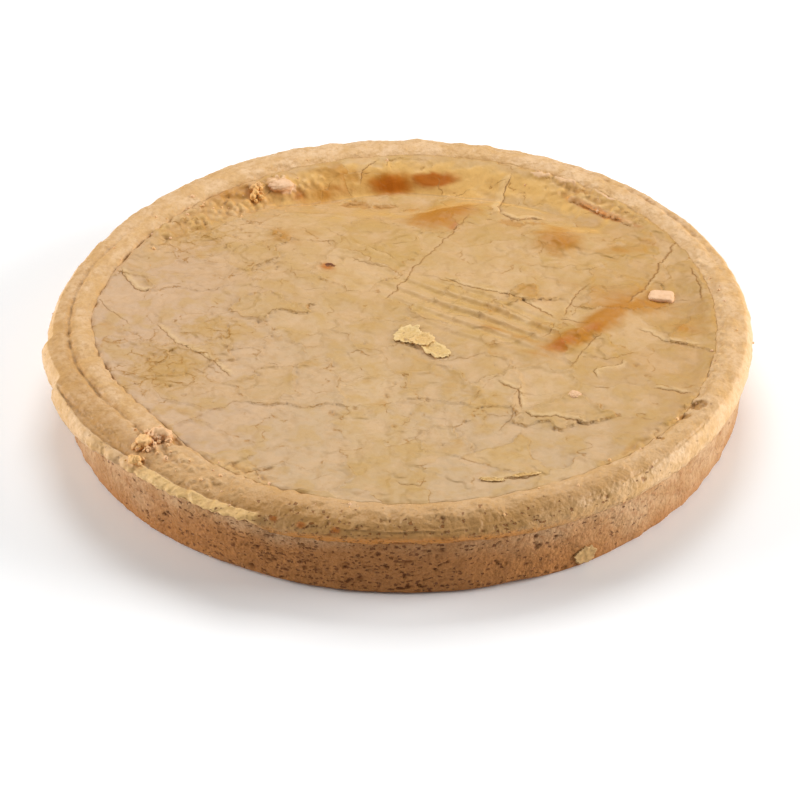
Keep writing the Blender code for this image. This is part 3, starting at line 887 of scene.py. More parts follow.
def makeRim(reliefTree, material):
    angles = np.linspace(0, 360, rim["steps"], endpoint=False)
    seam, crease, lid = seamRadius(angles), creaseRadius(angles), lidRadius(angles)
    ledge, shell = ledgeHeight(angles), shellRadius(angles)
    # radius, height and relief of each row, from under the skin round the lip and over the crown
    profile = [
        (seam - 0.0035, np.full_like(seam, 0.0205), 0.0),
        (shell - 0.0050, ledge - 0.0030, 0.0),
        (shell - 0.0012, ledge - 0.0020, 0.0),
    ]
    tucked = rim["tucked"] * swell(angles, 270, 24)
    for share in np.linspace(0, 1, rim["lipRows"]):
        radius = shell - 0.0004 + (lid - tucked - shell) * share
        profile.append((radius, ledge - 0.0002, 0.4 + 0.4 * share))
    front = swell(angles, 272, 40)
    edge = onCircle(lid, angles)
    broken = np.clip(0.6 + 1.6 * bumps(edge, 0.006, 31), 0, 1)
    frontSplit = rim["frontSplit"] * ease((angles - 246) / 8) * ease((296 - angles) / 16) * broken
    ragged = (0.75 + 0.8 * bumps(edge, 0.005, 27) + 0.5 * bumps(edge, 0.0018, 28)) * tornLip(angles)
    creaseTop = lidHeight(*onCircle(crease, angles).T) - rim["shoulder"] * front
    for share in np.linspace(0, 1, rim["bandRows"] + 1)[:-1]:
        inward = 0.0004 * (1 - math.sin(math.pi / 2 * min(1.0, share * 5)))
        inward = inward + tucked * max(0.0, 1 - share / 0.6) ** 2
        inward = inward + form["creaseInset"] * max(0.0, (share - 0.35) / 0.65) ** 2.2
        inward = inward + frontSplit * bell((share - 0.80) / 0.05)
        bulge = rim["tornBulge"] * bell((share - 0.45) / 0.42)
        bulge = bulge - rim["tornFold"] * bell((share - 0.95) / 0.12)
        height = ledge + 0.0003 + (creaseTop - ledge - 0.0003) * share
        profile.append((lid - inward + bulge * ragged, height, 1.0))
    creaseCut = rim["creaseCut"] * (0.2 + broken * swell(angles, 305, 40) + tornLip(angles))
    for share in np.linspace(0, 1, rim["crownRows"] + 1):
        radius = crease + (seam - crease) * share
        x, y = onCircle(radius, angles).T
        height = lidHeight(x, y) - seamDrop(x, y) - tearDepth(x, y) - creaseCut * bell(share / 0.05)
        rounded = max(0.0, 1 - share / 0.65) ** 2
        profile.append((radius, height - rim["shoulder"] * front * rounded, 1.0 - 0.5 * share**6))
    surface = Surface()
    rings = []
    speckled = (0.06 + swell(angles, 266, 34)) * (1 - 0.7 * tornLip(angles))
    for number, (radius, height, relief) in enumerate(profile):
        x, y = onCircle(radius, angles).T
        if number > len(profile) - rim["crownRows"] - 2:
            stores = crownStores(x, y, angles, speckled, relief)
        else:
            stores = bandStores(height, angles, speckled, relief)
        points = np.column_stack([x, y, height])
        rings.append(surface.addPoints(points, relief=relief, hot=stained("hot", x, y), **stores))
    for lower, upper in zip(rings, rings[1:] + rings[:1]):
        surface.addBand(lower, upper)
    return runTree(surface.build("lidRim"), reliefTree, dict(rim["relief"], Material=material))


# The side crust with the base, closed across its hidden top
side = {
    "steps": 1500, "rows": 44, "floorStep": 0.004, "floorInset": 0.0030, "unevenness": 0.0006,
    "hiddenTop": 0.0150, "hiddenInset": 0.0060,
    "relief": {
        "Lump Size": 0.0060, "Lump Depth": 0.0010, "Grain Size": 0.0014, "Grain Depth": 0.00055,
        "Pore Size": 0.0032, "Pore Depth": 0.0007, "Pore Share": 0.75,
        "Clod Size": 0.004, "Clod Depth": 0.0, "Plate Step": 0.0, "Plate Curl": 0.0,
    },
}


def makeSide(reliefTree, material):
    angles = np.linspace(0, 360, side["steps"], endpoint=False)
    foot, gap = around("footRadius", angles), around("footGap", angles)
    shell, ledge = shellRadius(angles), ledgeHeight(angles)
    surface = Surface()
    inner = hexGrid(0.1085, side["floorStep"], 0.1, 2)
    floor, triangles, ranks = fillRing(onCircle(foot - side["floorInset"], angles), inner)
    base = surface.addPoints(np.column_stack([floor, np.zeros(len(floor))]), relief=0.0, toasted=0.6)
    surface.addTriangles(base[triangles][:, ::-1])
    rings = [base[ranks]]
    profile = [
        (foot - 0.0016, 0.00005 + gap * 0.4, 0.0),
        (foot - 0.0008, 0.0003 + gap * 0.8, 0.3),
        (foot - 0.0003, 0.0008 + gap, 0.7),
    ]
    for share in np.linspace(0.07, 1.0, side["rows"]):
        height = ledge * share + gap * (1 - share)
        place = np.column_stack([onCircle(form["footRadius"], angles), height])
        uneven = side["unevenness"] * bumps(place, 0.008, 0.0)
        profile.append((foot + (shell - foot) * share + uneven, height, 1.0))
    profile.append((shell - 0.0006, ledge + 0.0010, 0.0))
    profile.append((shell - 0.0035, ledge + 0.0010, 0.0))
    profile.append((shell - side["hiddenInset"], np.full_like(shell, side["hiddenTop"]), 0.0))
    for radius, height, relief in profile:
        points = np.column_stack([onCircle(radius, angles), height])
        top = ease((height / ledge - 0.5) / 0.5)
        porous = np.clip(0.06 + 0.94 * swell(angles, 262, 34) + 0.3 * bumps(points, 0.03, 21), 0.04, 1)
        toasted = 0.12 + 0.95 * swell(angles, 264, 38) * (1 - 0.50 * top) + 0.2 * bumps(points, 0.02, 22)
        toasted += 0.4 * (1 - ease(height / 0.012)) - 0.22 * top * swell(angles, 238, 24)
        stores = {"porous": relief * porous, "toasted": np.clip(toasted, 0, 1.2), "scatter": 0.10 * relief}
        rings.append(surface.addPoints(points, relief=relief, **stores))
    for lower, upper in zip(rings, rings[1:]):
        surface.addBand(lower, upper)
    closing = onCircle(shell - side["hiddenInset"], angles)
    cover, triangles, ranks = fillRing(closing, hexGrid(0.104, 0.008, 0.1, 3))
    lookup = surface.addPoints(np.column_stack([cover, np.full(len(cover), side["hiddenTop"])]), relief=0.0)
    lookup[ranks] = rings[-1]
    surface.addTriangles(lookup[triangles])
    return runTree(surface.build("sideCrust"), reliefTree, dict(side["relief"], Material=material))


# Loose bits: flakes of skin, lumps and crumbs


def onLid(x, y, height):
    return np.column_stack([x, y, lidHeight(x, y) + height])


# thin flakes: centre, reach, turn, lift over the lid, curl of the edge, orange from 0 to 1, seed
flakes = {
    "sheets": [
        ((0.0022, -0.0090), (0.0058, 0.0062), -20, 0.0002, 0.0007, 0.0, 3),
        ((0.0112, -0.0178), (0.0072, 0.0042), -52, 0.0001, 0.0006, 0.0, 4),
        ((0.0068, -0.0125), (0.0046, 0.0044), 10, 0.0006, 0.0007, 0.15, 6),
        ((0.0715, 0.0685), (0.0100, 0.0005), -43, 0.0002, 0.0003, 1.0, 7),
        ((0.0390, -0.0902), (0.0055, 0.0010), 12, 0.0001, 0.0004, 0.1, 8),
        ((0.0285, -0.0925), (0.0046, 0.0012), -6, 0.0001, 0.0004, 0.1, 9),
    ],
    "thickness": 0.00030,
    "wrinkle": 0.0004,
}
# one flake on the wall: angle, height, reach round and up, how far it stands out, thickness, seed
wallFlake = {
    "angle": 299.8, "height": 0.0046, "reach": (0.0044, 0.0036), "standsOut": 0.0005, "thickness": 0.0009,
    "seed": 18,
}


def raggedSheet(seed):
    # a ragged round sheet of radius 1: flat points, triangles, outline, and how far out each point lies
    angles = np.linspace(0, 360, 90, endpoint=False)
    unit = onCircle(1.0, angles)
    ragged = 0.86 + 0.24 * bumps(unit, 0.45, seed) + 0.18 * bumps(unit, 0.13, seed + 20)
    inner = hexGrid(1.3, 0.050, 0.1, seed)
    limit = np.interp(angleOf(*inner.T), angles, ragged, period=360)
    inner = inner[np.hypot(*inner.T) < limit - 0.035]
    flat, triangles, ranks = fillRing(unit * ragged[:, None], inner)
    limit = np.interp(angleOf(*flat.T), angles, ragged, period=360)
    return flat, triangles, ranks, np.hypot(*flat.T) / limit


def addSheet(surface, upper, lower, triangles, ranks, **stored):
    upper = surface.addPoints(upper, **stored)
    lower = surface.addPoints(lower, **stored)
    surface.addTriangles(upper[triangles])
    surface.addTriangles(lower[triangles][:, ::-1])
    surface.addBand(lower[ranks], upper[ranks])


def makeFlakes(material):
    surface = Surface()
    for centre, reach, turn, lift, curl, orange, seed in flakes["sheets"]:
        flat, triangles, ranks, outward = raggedSheet(seed)
        turnWay = math.radians(turn)
        across = flat * np.array(reach)
        x = centre[0] + across[:, 0] * math.cos(turnWay) - across[:, 1] * math.sin(turnWay)
        y = centre[1] + across[:, 0] * math.sin(turnWay) + across[:, 1] * math.cos(turnWay)
        wrinkle = bumps(flat, 0.40, seed + 5) + 0.6 * bumps(flat, 0.17, seed + 6)
        curled = ease((outward - 0.40) / 0.60) * np.clip(0.5 + bumps(flat, 0.6, seed + 7), -0.3, 1.3) * curl
        height = lift + np.abs(wrinkle) * flakes["wrinkle"] + curled
        lower = onLid(x, y, height - flakes["thickness"])
        addSheet(surface, onLid(x, y, height), lower, triangles, ranks, thin=outward, golden=orange)
    flat, triangles, ranks, outward = raggedSheet(wallFlake["seed"])
    across = flat * np.array(wallFlake["reach"])
    angle = wallFlake["angle"] + np.degrees(across[:, 0] / form["footRadius"])
    height = wallFlake["height"] + across[:, 1]
    foot = around("footRadius", angle)
    wall = foot + (shellRadius(angle) - foot) * height / ledgeHeight(angle)
    outer = wall + wallFlake["standsOut"] + 0.0002 * outward**3 + 0.0003 * bumps(flat, 0.4, 3)
    upper = np.column_stack([onCircle(outer, angle), height])
    lower = np.column_stack([onCircle(outer - wallFlake["thickness"], angle), height])
    addSheet(surface, upper, lower, triangles[:, ::-1], ranks[::-1], thin=outward, dull=0.85)
    made = surface.build("skinFlakes")
    made.data.materials.append(material)
    return made


# single lumps: centre, half sizes, turn, how square, how rough, golden from 0 to 1, seed
lumps = [
    ((0.0893, 0.0140), (0.0044, 0.0031, 0.0012), -8, 7.0, 0.22, 0.0, 31),
    ((0.0570, -0.0455), (0.0020, 0.0018, 0.0010), 0, 2.2, 0.6, 0.1, 37),
    ((-0.0440, 0.0868), (0.0046, 0.0028, 0.0016), 12, 5.0, 0.6, 0.0, 36),
    ((-0.0788, -0.0695), (0.0036, 0.0034, 0.0028), 20, 2.2, 0.75, 0.25, 39),
    ((-0.0840, -0.0733), (0.0030, 0.0026, 0.0022), 0, 2.2, 0.75, 0.7, 40),
    ((-0.0862, -0.0822), (0.0022, 0.0016, 0.0014), 0, 2.2, 0.75, 0.9, 41),
]
# heaps of small lumps: centre, reach, count, smallest and largest, golden, seed
heaps = [
    ((-0.0788, -0.0695), (0.0040, 0.0040), 20, (0.0006, 0.0014), 0.30, 41),
    ((-0.0840, -0.0733), (0.0034, 0.0030), 16, (0.0005, 0.0012), 0.75, 42),
    ((-0.0862, -0.0822), (0.0026, 0.0020), 8, (0.0003, 0.0008), 0.9, 43),
    ((-0.0820, -0.0760), (0.0060, 0.0050), 24, (0.0003, 0.0008), 0.4, 52),
    ((-0.0520, 0.0828), (0.0018, 0.0034), 14, (0.0006, 0.0013), 1.0, 45),
]


def makeLumps(material):
    bpy.ops.mesh.primitive_ico_sphere_add(subdivisions=4, radius=1.0)
    ball = bpy.context.object
    directions = np.array([tuple(vertex.co) for vertex in ball.data.vertices])
    triangles = np.array([list(polygon.vertices) for polygon in ball.data.polygons])
    bpy.data.objects.remove(ball)
    surface = Surface()

    def addLump(centre, lift, halves, turn, squareness, roughness, golden, seed):
        size = (np.abs(directions) ** squareness).sum(axis=1) ** (1 / squareness)
        chance = np.random.default_rng(seed)
        cuts = chance.normal(size=(11, 3))
        cuts /= np.linalg.norm(cuts, axis=1)[:, None]
        reach = chance.uniform(0.66, 0.95, 11) / np.maximum(directions @ cuts.T, 0.25)
        chunk = np.minimum(reach.min(axis=1), 1.15)
        dents = 0.22 * bumps(directions, 0.6, seed + 9) + 0.22 * bumps(directions, 0.28, seed + 12)
        dents += 0.14 * bumps(directions, 0.14, seed + 15)
        radius = (1 - roughness) / size + roughness * chunk + dents * roughness
        shaped = directions * radius[:, None] * np.array(halves)
        turnWay = math.radians(turn)
        x = centre[0] + shaped[:, 0] * math.cos(turnWay) - shaped[:, 1] * math.sin(turnWay)
        y = centre[1] + shaped[:, 0] * math.sin(turnWay) + shaped[:, 1] * math.cos(turnWay)
        under = float(lidHeight(np.array([centre[0]]), np.array([centre[1]]))[0])
        points = np.column_stack([x, y, under + shaped[:, 2] + lift])
        numbers = surface.addPoints(points, golden=golden, hollow=-dents)
        surface.addTriangles(numbers[triangles])

    for centre, halves, turn, squareness, roughness, golden, seed in lumps:
        addLump(centre, 0.25 * halves[2], halves, turn, squareness, roughness, golden, seed)
    for centre, reach, count, sizes, golden, seed in heaps:
        chance = np.random.default_rng(seed)
        for number in range(count):
            away = np.clip(chance.normal(0, 0.6, 2), -1.2, 1.2)
            place = (centre[0] + away[0] * reach[0], centre[1] + away[1] * reach[1])
            half = chance.uniform(*sizes)
            halves = half * chance.uniform(0.75, 1.25, 3)
            lift = half * (0.3 + 0.7 * max(0.0, 1 - float(np.hypot(*away))))
            tone = float(np.clip(golden + chance.normal(0, 0.2), 0, 1))
            addLump(place, lift, halves, chance.uniform(0, 360), 2.2, 0.75, tone, seed + number)
    made = surface.build("crumbLumps")
    made.data.materials.append(material)
    return made


# crumbs strewn where the crust has crumbled
crumbs = {"Density": 42000.0, "Smallest": 0.00016, "Largest": 0.00070, "Roughness": 0.00030, "Seed": 7}


def crumbScatter():
    sockets = dict.fromkeys(["Skin", "Rim", "Side"], "Object")
    sockets.update(dict.fromkeys(["Density", "Smallest", "Largest", "Roughness"], "Float"), Seed="Int")
    tree, maker, given = newTree("crumbScatter", sockets)

    def chance(seed):
        values = {2: 0.0, 3: 1.0, "Seed": seed}
        return maker.node("FunctionNodeRandomValue", {"data_type": "FLOAT"}, values, 1)

    def chanceVector(low, high, seed):
        values = {0: low, 1: high, "Seed": seed}
        return maker.node("FunctionNodeRandomValue", {"data_type": "FLOAT_VECTOR"}, values)

    joined = tree.nodes.new("GeometryNodeJoinGeometry")
    for name in ("Skin", "Rim", "Side"):
        source = maker.node("GeometryNodeObjectInfo", None, {"Object": given.output(name)}, "Geometry")
        tree.links.new(source.socket, joined.inputs[0])
    weight = maker.node("GeometryNodeInputNamedAttribute", None, {"Name": "scatter"})
    values = {"Mesh": Wire(maker, joined.outputs[0]), "Density": given.output("Density") * weight * weight}
    values["Seed"] = given.output("Seed")
    points = maker.node("GeometryNodeDistributePointsOnFaces", None, values, "Points")
    ball = maker.node("GeometryNodeMeshIcoSphere", None, {"Radius": 1.0, "Subdivisions": 2}, "Mesh")
    turn = chanceVector((0.0, 0.0, 0.0), (6.3, 6.3, 6.3), 1)
    shape = chanceVector((0.7, 0.7, 0.5), (1.3, 1.3, 1.0), 2)
    size = chance(3)
    size = given.output("Smallest") + (given.output("Largest") - given.output("Smallest")) * size * size
    scale = maker.vector("SCALE", shape, size)
    values = {"Points": points, "Instance": ball, "Rotation": turn, "Scale": scale}
    placed = maker.node("GeometryNodeInstanceOnPoints", None, values)
    tone = chance(4)
    values = {"Geometry": placed, "Name": "golden", "Value": tone * tone}
    kinds = {"data_type": "FLOAT", "domain": "INSTANCE"}
    placed = maker.node("GeometryNodeStoreNamedAttribute", kinds, values)
    real = maker.node("GeometryNodeRealizeInstances", None, {"Geometry": placed})
    dent = maker.noise(maker.node("GeometryNodeInputPosition"), 0.0005, 2.0, 0.5) - 0.5
    offset = maker.vector("SCALE", maker.node("GeometryNodeInputNormal"), dent * given.output("Roughness"))
    dented = maker.node("GeometryNodeSetPosition", None, {"Geometry": real, "Offset": offset})
    closeTree(maker, given, dented)
    return tree


def makeCrumbs(material, skinPiece, rimPiece, sidePiece):
    host = bpy.data.objects.new("looseCrumbs", bpy.data.meshes.new("looseCrumbs"))
    bpy.context.scene.collection.objects.link(host)
    settings = dict(crumbs, Skin=skinPiece, Rim=rimPiece, Side=sidePiece, Material=material)
    return runTree(host, crumbScatter(), settings)


# Materials


class Look:
    # a material that takes its first tone, then coats painted over it. Tones are screen colours, 0 to 255
    def __init__(self, name, tone, first):
        self.material = bpy.data.materials.new(name)
        self.material.use_nodes = True
        self.material.node_tree.nodes.clear()
        self.maker = Maker(self.material.node_tree)
        self.place = self.maker.node("ShaderNodeTexCoord", output="Object")
        self.tone = tone
        self.colour = shade(*tone[first])

    def stored(self, name):
        return self.maker.node("ShaderNodeAttribute", {"attribute_name": name}, None, "Fac")

    def frayed(self, name, noise, amount):
        # a stored value whose edge is broken up by noise
        return self.stored(name) + (noise - 0.5) * amount

    def mottle(self, size, detail=3.0, roughness=0.6):
        return self.maker.noise(self.place, size, detail, roughness)

    def paint(self, amount, name):
        self.colour = self.maker.mixColour(amount, self.colour, shade(*self.tone[name]))

    def finish(self, height, unevenness):
        tone = self.tone
        values = {"Strength": 1.0, "Distance": tone["bump"], "Height": height}
        normal = self.maker.node("ShaderNodeBump", None, values)
        values = {"Base Color": self.colour, "Roughness": tone["roughness"] + unevenness}
        values.update({"Specular IOR Level": tone["specular"], "Normal": normal})
        shader = self.maker.node("ShaderNodeBsdfPrincipled", None, values)
        self.maker.node("ShaderNodeOutputMaterial", None, {"Surface": shader})
        return self.material


# of these tones, "lip" is a painted highlight, "line" is both the colour of fine cracks and painted shade,
# "trough" and "wall" are painted shade, and the tone for grooves and crevices is painted shade
lidLook = {
    "front": (195, 162, 120), "back": (196, 155, 96), "pale": (210, 173, 123), "deep": (182, 136, 78),
    "speck": (178, 132, 76), "yellow": (191, 150, 80), "brown": (182, 116, 16), "hot": (180, 96, 0),
    "line": (174, 120, 48), "groove": (184, 132, 66), "wall": (232, 184, 108), "pink": (214, 173, 128),
    "lip": (224, 188, 134), "hole": (186, 134, 68), "patch": (234, 192, 150), "burnt": (104, 52, 14),
    "golden": (186, 142, 76), "trough": (204, 162, 90), "crack": (160, 106, 44), "crumb": (220, 174, 108),
    "rosy": (199, 162, 130), "roughness": 0.48, "specular": 0.24, "bump": 0.0010,
}


def lidMaterial(tone):
    look = Look("lidPastry", tone, "front")
    maker = look.maker
    between = maker.between
    broad, medium, fine = look.mottle(0.016), look.mottle(0.0032), look.mottle(0.0009, 2.0)
    soft = look.mottle(0.0080, 2.0, 0.5)

    # plates of skin, each with its own tint, deeper yellow towards the back and the right
    where = maker.parts(look.place)
    towardsBack = where.output("Y") + where * 0.55 + (broad - 0.5) * 0.10
    look.paint(between(towardsBack, -0.07, 0.04), "back")
    look.paint(between(where + (broad - 0.5) * 0.05, 0.04, 0.10) * 0.45, "deep")
    look.paint(between((broad - 0.5) * 0.05 - where, 0.02, 0.08) * 0.55, "rosy")
    pick, edge = plateCells(maker, look.place, plates["size"])
    smallPick, smallEdge = plateCells(maker, look.place, plates["small"])
    look.paint(between(pick.output("Z"), 0.45, 0.95) * 0.45, "pale")
    look.paint(between(pick, 0.60, 0.90) * 0.40, "yellow")
    look.paint(between(soft, 0.50, 0.66) * 0.45, "yellow")
    look.paint(between(soft, 0.50, 0.36) * 0.30, "pink")
    look.paint(between(medium, 0.48, 0.72) * 0.25, "deep")
    streaks = maker.noise(maker.stretched(maker.turned(look.place, 24), 0.22, 1.0, 1.0), 0.0042, 3.0, 0.6)
    yellow = look.stored("yellow") * 0.8 + between(streaks, 0.56, 0.72) * 0.3 + (soft - 0.5) * 0.7
    look.paint(between(yellow, 0.15, 0.95) * 0.65, "yellow")
    # painted shade in the troughs of the ripples and a painted highlight on their crests
    look.paint(between(look.stored("trough"), 0.48, 0.80) * 0.50, "trough")
    look.paint(between(look.stored("trough"), 0.45, 0.15) * 0.50, "pale")
    # painted shade on the steep back slope of the sunken lid, in a deeper golden tone
    wall = look.frayed("steep", soft, 0.5)
    look.paint(between(wall, 0.20, 0.60) * 0.8, "wall")
    look.paint(between(fine, 0.56, 0.76) * 0.20, "speck")
    look.paint(between(look.frayed("crumbly", medium, 1.0), 0.2, 0.8) * 0.5, "crumb")

    crackle = look.stored("crackle")
    look.paint(between(crackle * (medium + fine), 0.50, 1.00) * 0.50, "golden")

    # browned patches
    tint = (soft - 0.5) * 0.5 + (pick.output("Y") - 0.5) * 0.25 + (streaks - 0.5) * 0.6
    look.paint(between(look.stored("brown") + tint, 0.08, 0.78) * 0.92, "brown")
    look.paint(between(look.stored("hot") + tint * 0.9, 0.15, 0.85) * 0.92, "hot")
    burnt = look.frayed("burnt", fine, 0.8)
    look.paint(between(burnt, 0.35, 0.8), "burnt")

    # where one plate lies over the next, painted light and shade: a painted highlight on the upper one's edge
    # and painted shade under it, found by looking a little towards the back light
    # the offset points towards the back light
    shift = (0.00008, 0.00022, 0.0)
    largeShare = between(look.mottle(0.010, 2.0, 0.5), 0.44, 0.56)
    for size, amount in ((plates["size"], largeShare), (plates["small"], crackle * 1.2 + 0.04)):
        behind, _ = plateCells(maker, maker.vector("ADD", look.place, shift), size)
        before, _ = plateCells(maker, maker.vector("SUBTRACT", look.place, shift), size)
        shadedSide = (behind - before) * amount
        # painted shade under the upper plate's edge, in the colour of the lines
        look.paint(between(shadedSide, 0.03, 0.55) * 0.34, "line")
        # painted highlight along the upper plate's edge
        look.paint(between(before - behind, 0.05, 0.6) * amount * 0.36, "lip")

    # fine broken lines along the edges of plates, and the larger cracks
    breaks = look.mottle(0.0060, 3.0, 0.55)
    jag = maker.noise(look.place, 0.0006, 2.0, 0.6)
    thin = (jag - 0.5) * 0.0006
    largeLine = (1.0 - between(edge + thin, 0.00002, 0.00028)) * between(breaks, 0.50, 0.58)
    chosen = between(breaks + crackle * 0.24, 0.67, 0.76)
    smallLine = (1.0 - between(smallEdge + thin, 0.00002, 0.00034)) * chosen
    span = look.frayed("crackSpan", jag, 2.6)
    crack = (1.0 - between(span, 0.1, 1.0)) * look.stored("crackStrength") * between(jag, 0.30, 0.50)
    lines = maker.math("MAXIMUM", largeLine * 0.65, smallLine * 0.80)
    net = 1.0 - between(smallEdge + (jag - 0.5) * 0.0012, 0.0001, 0.0010)
    look.paint(net * between(crackle + (soft - 0.5) * 0.9, 0.35, 0.95) * 0.60, "golden")
    # painted highlight on the edges that curl up beside the cracks
    look.paint(between(look.frayed("lifted", jag, 0.4), 0.15, 0.6) * 0.5, "lip")
    look.paint(lines, "line")
    look.paint(crack * 0.85, "crack")
    tear = look.frayed("tear", fine, 0.5)
    look.paint(between(tear, 0.2, 0.9) * 0.75, "hole")
    look.paint(between(tear, -0.4, -1.1) * 0.85, "patch")
    # painted shade in the grooves round the lid, in the crevices between clods and in the pits
    groove = look.frayed("groove", medium, 0.9)
    look.paint(between(groove, 0.30, 1.0) * 0.5, "groove")
    look.paint(between(look.stored("clod"), 0.25, 0.9) * 0.45, "groove")
    look.paint(look.stored("pit") * 0.45, "groove")

    shown = between(look.mottle(0.011, 2.0, 0.5), 0.40, 0.54)
    steps = pick * shown * 0.6 + smallPick * (crackle * 0.6 + 0.03)
    height = steps + soft * 0.8 + medium * 0.16 + fine * 0.10 - lines * 0.12 - crack * 0.14
    return look.finish(height, (medium - 0.5) * 0.3)


def finePores(look, size, share):
    # small holes for the colour and the bump, wider than they are high
    maker = look.maker
    bent = maker.warped(maker.stretched(look.place, 1.0, 1.0, 1.6), size * 0.8, size * 0.9)
    cell = maker.cells(bent, size)
    pick = maker.parts(cell.output("Color"))
    jag = maker.noise(look.place, size * 0.35, 2.0, 0.6)
    hole = maker.between(0.16 + 0.30 * pick.output("Z") + (jag - 0.5) * 0.8 - cell, 0.0, 0.14)
    return hole * maker.between(share - pick, 0.0, 0.1)


def crumbGrain(look, size):
    # packed grains, high in the middle of each
    maker = look.maker
    return 1.0 - maker.cells(maker.warped(look.place, size * 1.2, size * 0.6), size)


rimLook = {
    "pale": (224, 185, 138), "golden": (214, 170, 112), "deep": (200, 154, 98), "speck": (190, 142, 86),
    "groove": (188, 140, 80), "toasted": (177, 129, 70), "pit": (136, 78, 22), "torn": (234, 192, 122),
    "low": (212, 132, 44), "hot": (180, 100, 28), "hole": (176, 124, 54), "pink": (234, 196, 146),
    "roughness": 0.45, "specular": 0.28, "bump": 0.0010,
}


def rimMaterial(tone):
    look = Look("rimPastry", tone, "pale")
    maker = look.maker
    between = maker.between
    broad, medium, fine = look.mottle(0.011), look.mottle(0.0024), look.mottle(0.0008, 2.0)
    look.paint(between(broad, 0.40, 0.62), "golden")
    look.paint(between(medium, 0.46, 0.68) * 0.6, "deep")
    toasted = look.frayed("toasted", medium, 0.5)
    look.paint(between(toasted, 0.1, 0.9) * 0.9, "toasted")
    look.paint(between(look.frayed("low", medium, 0.8), 0.2, 0.9) * 0.75, "low")
    look.paint(between(look.frayed("torn", medium, 1.2), 0.3, 0.9) * 0.7, "torn")
    look.paint(between(fine, 0.54, 0.74) * 0.35, "speck")
    look.paint(between(look.frayed("crumbly", medium, 1.0), 0.2, 0.8) * 0.4, "pink")
    hot = maker.math("MAXIMUM", look.stored("hot"), look.stored("spot"))
    look.paint(between(hot + (medium - 0.5) * 0.6, 0.2, 0.95) * 0.8, "hot")
    tear = look.frayed("tear", fine, 0.5)
    look.paint(between(tear, 0.2, 0.9) * 0.75, "hole")
    # painted shade in the hollows of the grain, in the grooves and between clods; pores are painted a darker
    # brown, partly their own colour and partly painted shade
    hollows = between(0.5 - look.stored("grain"), 0.0, 0.22)
    look.paint(hollows * (0.15 + 0.4 * look.stored("toasted")), "groove")
    look.paint(between(look.frayed("groove", medium, 0.9), 0.30, 1.0) * 0.65, "groove")
    look.paint(between(look.stored("clod"), 0.25, 0.9) * 0.45, "groove")
    pores = finePores(look, 0.0017, look.stored("porous") * 0.95)
    look.paint(maker.math("MAXIMUM", look.stored("pit") * 0.6, pores * 0.75), "pit")
    rugged = 1.0 + look.stored("toasted") * 0.3 + look.stored("crumbly") * 0.3
    height = (medium * 0.28 + fine * 0.14 + crumbGrain(look, 0.0012) * 0.12) * rugged - pores * 0.3
    return look.finish(height, (medium - 0.5) * 0.35)


sideLook = {
    "pale": (202, 162, 120), "golden": (190, 146, 100), "toasted": (179, 121, 68), "dark": (164, 110, 66),
    "speck": (124, 74, 30), "grain": (206, 156, 98), "pit": (98, 50, 20), "roughness": 0.55,
    "specular": 0.15, "bump": 0.0010,
}


def sideMaterial(tone):
    look = Look("sidePastry", tone, "pale")
    maker = look.maker
    between = maker.between
    broad, medium, fine = look.mottle(0.012), look.mottle(0.0024), look.mottle(0.0009, 2.0)
    look.paint(between(broad, 0.38, 0.64), "golden")
    toasted = look.frayed("toasted", broad, 0.4)
    look.paint(between(toasted, 0.1, 0.85), "toasted")
    look.paint(between(medium, 0.48, 0.70) * 0.6, "dark")
    speckled = 0.15 + 0.85 * look.stored("porous")
    look.paint(between(fine, 0.54, 0.74) * 0.5 * speckled, "speck")
    look.paint(between(look.stored("grain"), 0.56, 0.74) * 0.35, "grain")
    # painted shade in the hollows of the grain; pores are painted a darker brown, partly their own colour and
    # partly painted shade
    look.paint(between(0.5 - look.stored("grain"), 0.0, 0.22) * 0.5 * speckled, "speck")
    pores = finePores(look, 0.0019, look.stored("porous") * 0.9)
    look.paint(maker.math("MAXIMUM", look.stored("pit") * 0.8, pores * 0.7), "pit")
    height = medium * 0.50 + fine * 0.20 + crumbGrain(look, 0.0012) * 0.22 - pores * 0.4
    return look.finish(height, (fine - 0.5) * 0.6)


bitLook = {
    "flake": (216, 178, 112), "flakeEdge": (234, 202, 142), "dull": (190, 150, 96), "lump": (234, 190, 148),
    "golden": (236, 184, 108), "orange": (226, 150, 70), "shadow": (206, 148, 88), "roughness": 0.45,
    "specular": 0.3, "bump": 0.0008,
}


def flakeMaterial(tone):
    look = Look("flakePastry", tone, "flake")
    between = look.maker.between
    medium, fine = look.mottle(0.0022), look.mottle(0.0007, 2.0)
    look.paint(between(look.frayed("thin", medium, 1.0), 0.5, 1.0) * 0.8, "flakeEdge")
    look.paint(look.stored("golden") * 0.8, "orange")
    look.paint(look.stored("dull"), "dull")
    look.paint(between(medium, 0.52, 0.74) * 0.25, "shadow")
    return look.finish(medium * 0.3 + fine * 0.1, 0.0)


def lumpMaterial(tone):
    look = Look("lumpPastry", tone, "lump")
    between = look.maker.between
    medium, fine = look.mottle(0.0018), look.mottle(0.0006, 2.0)
    look.paint(look.stored("golden") * 0.9, "golden")
    look.paint(between(look.stored("hollow"), 0.02, 0.25) * 0.35, "shadow")
    look.paint(between(medium, 0.52, 0.74) * 0.25, "shadow")
    return look.finish(medium * 0.3 + fine * 0.15, 0.0)


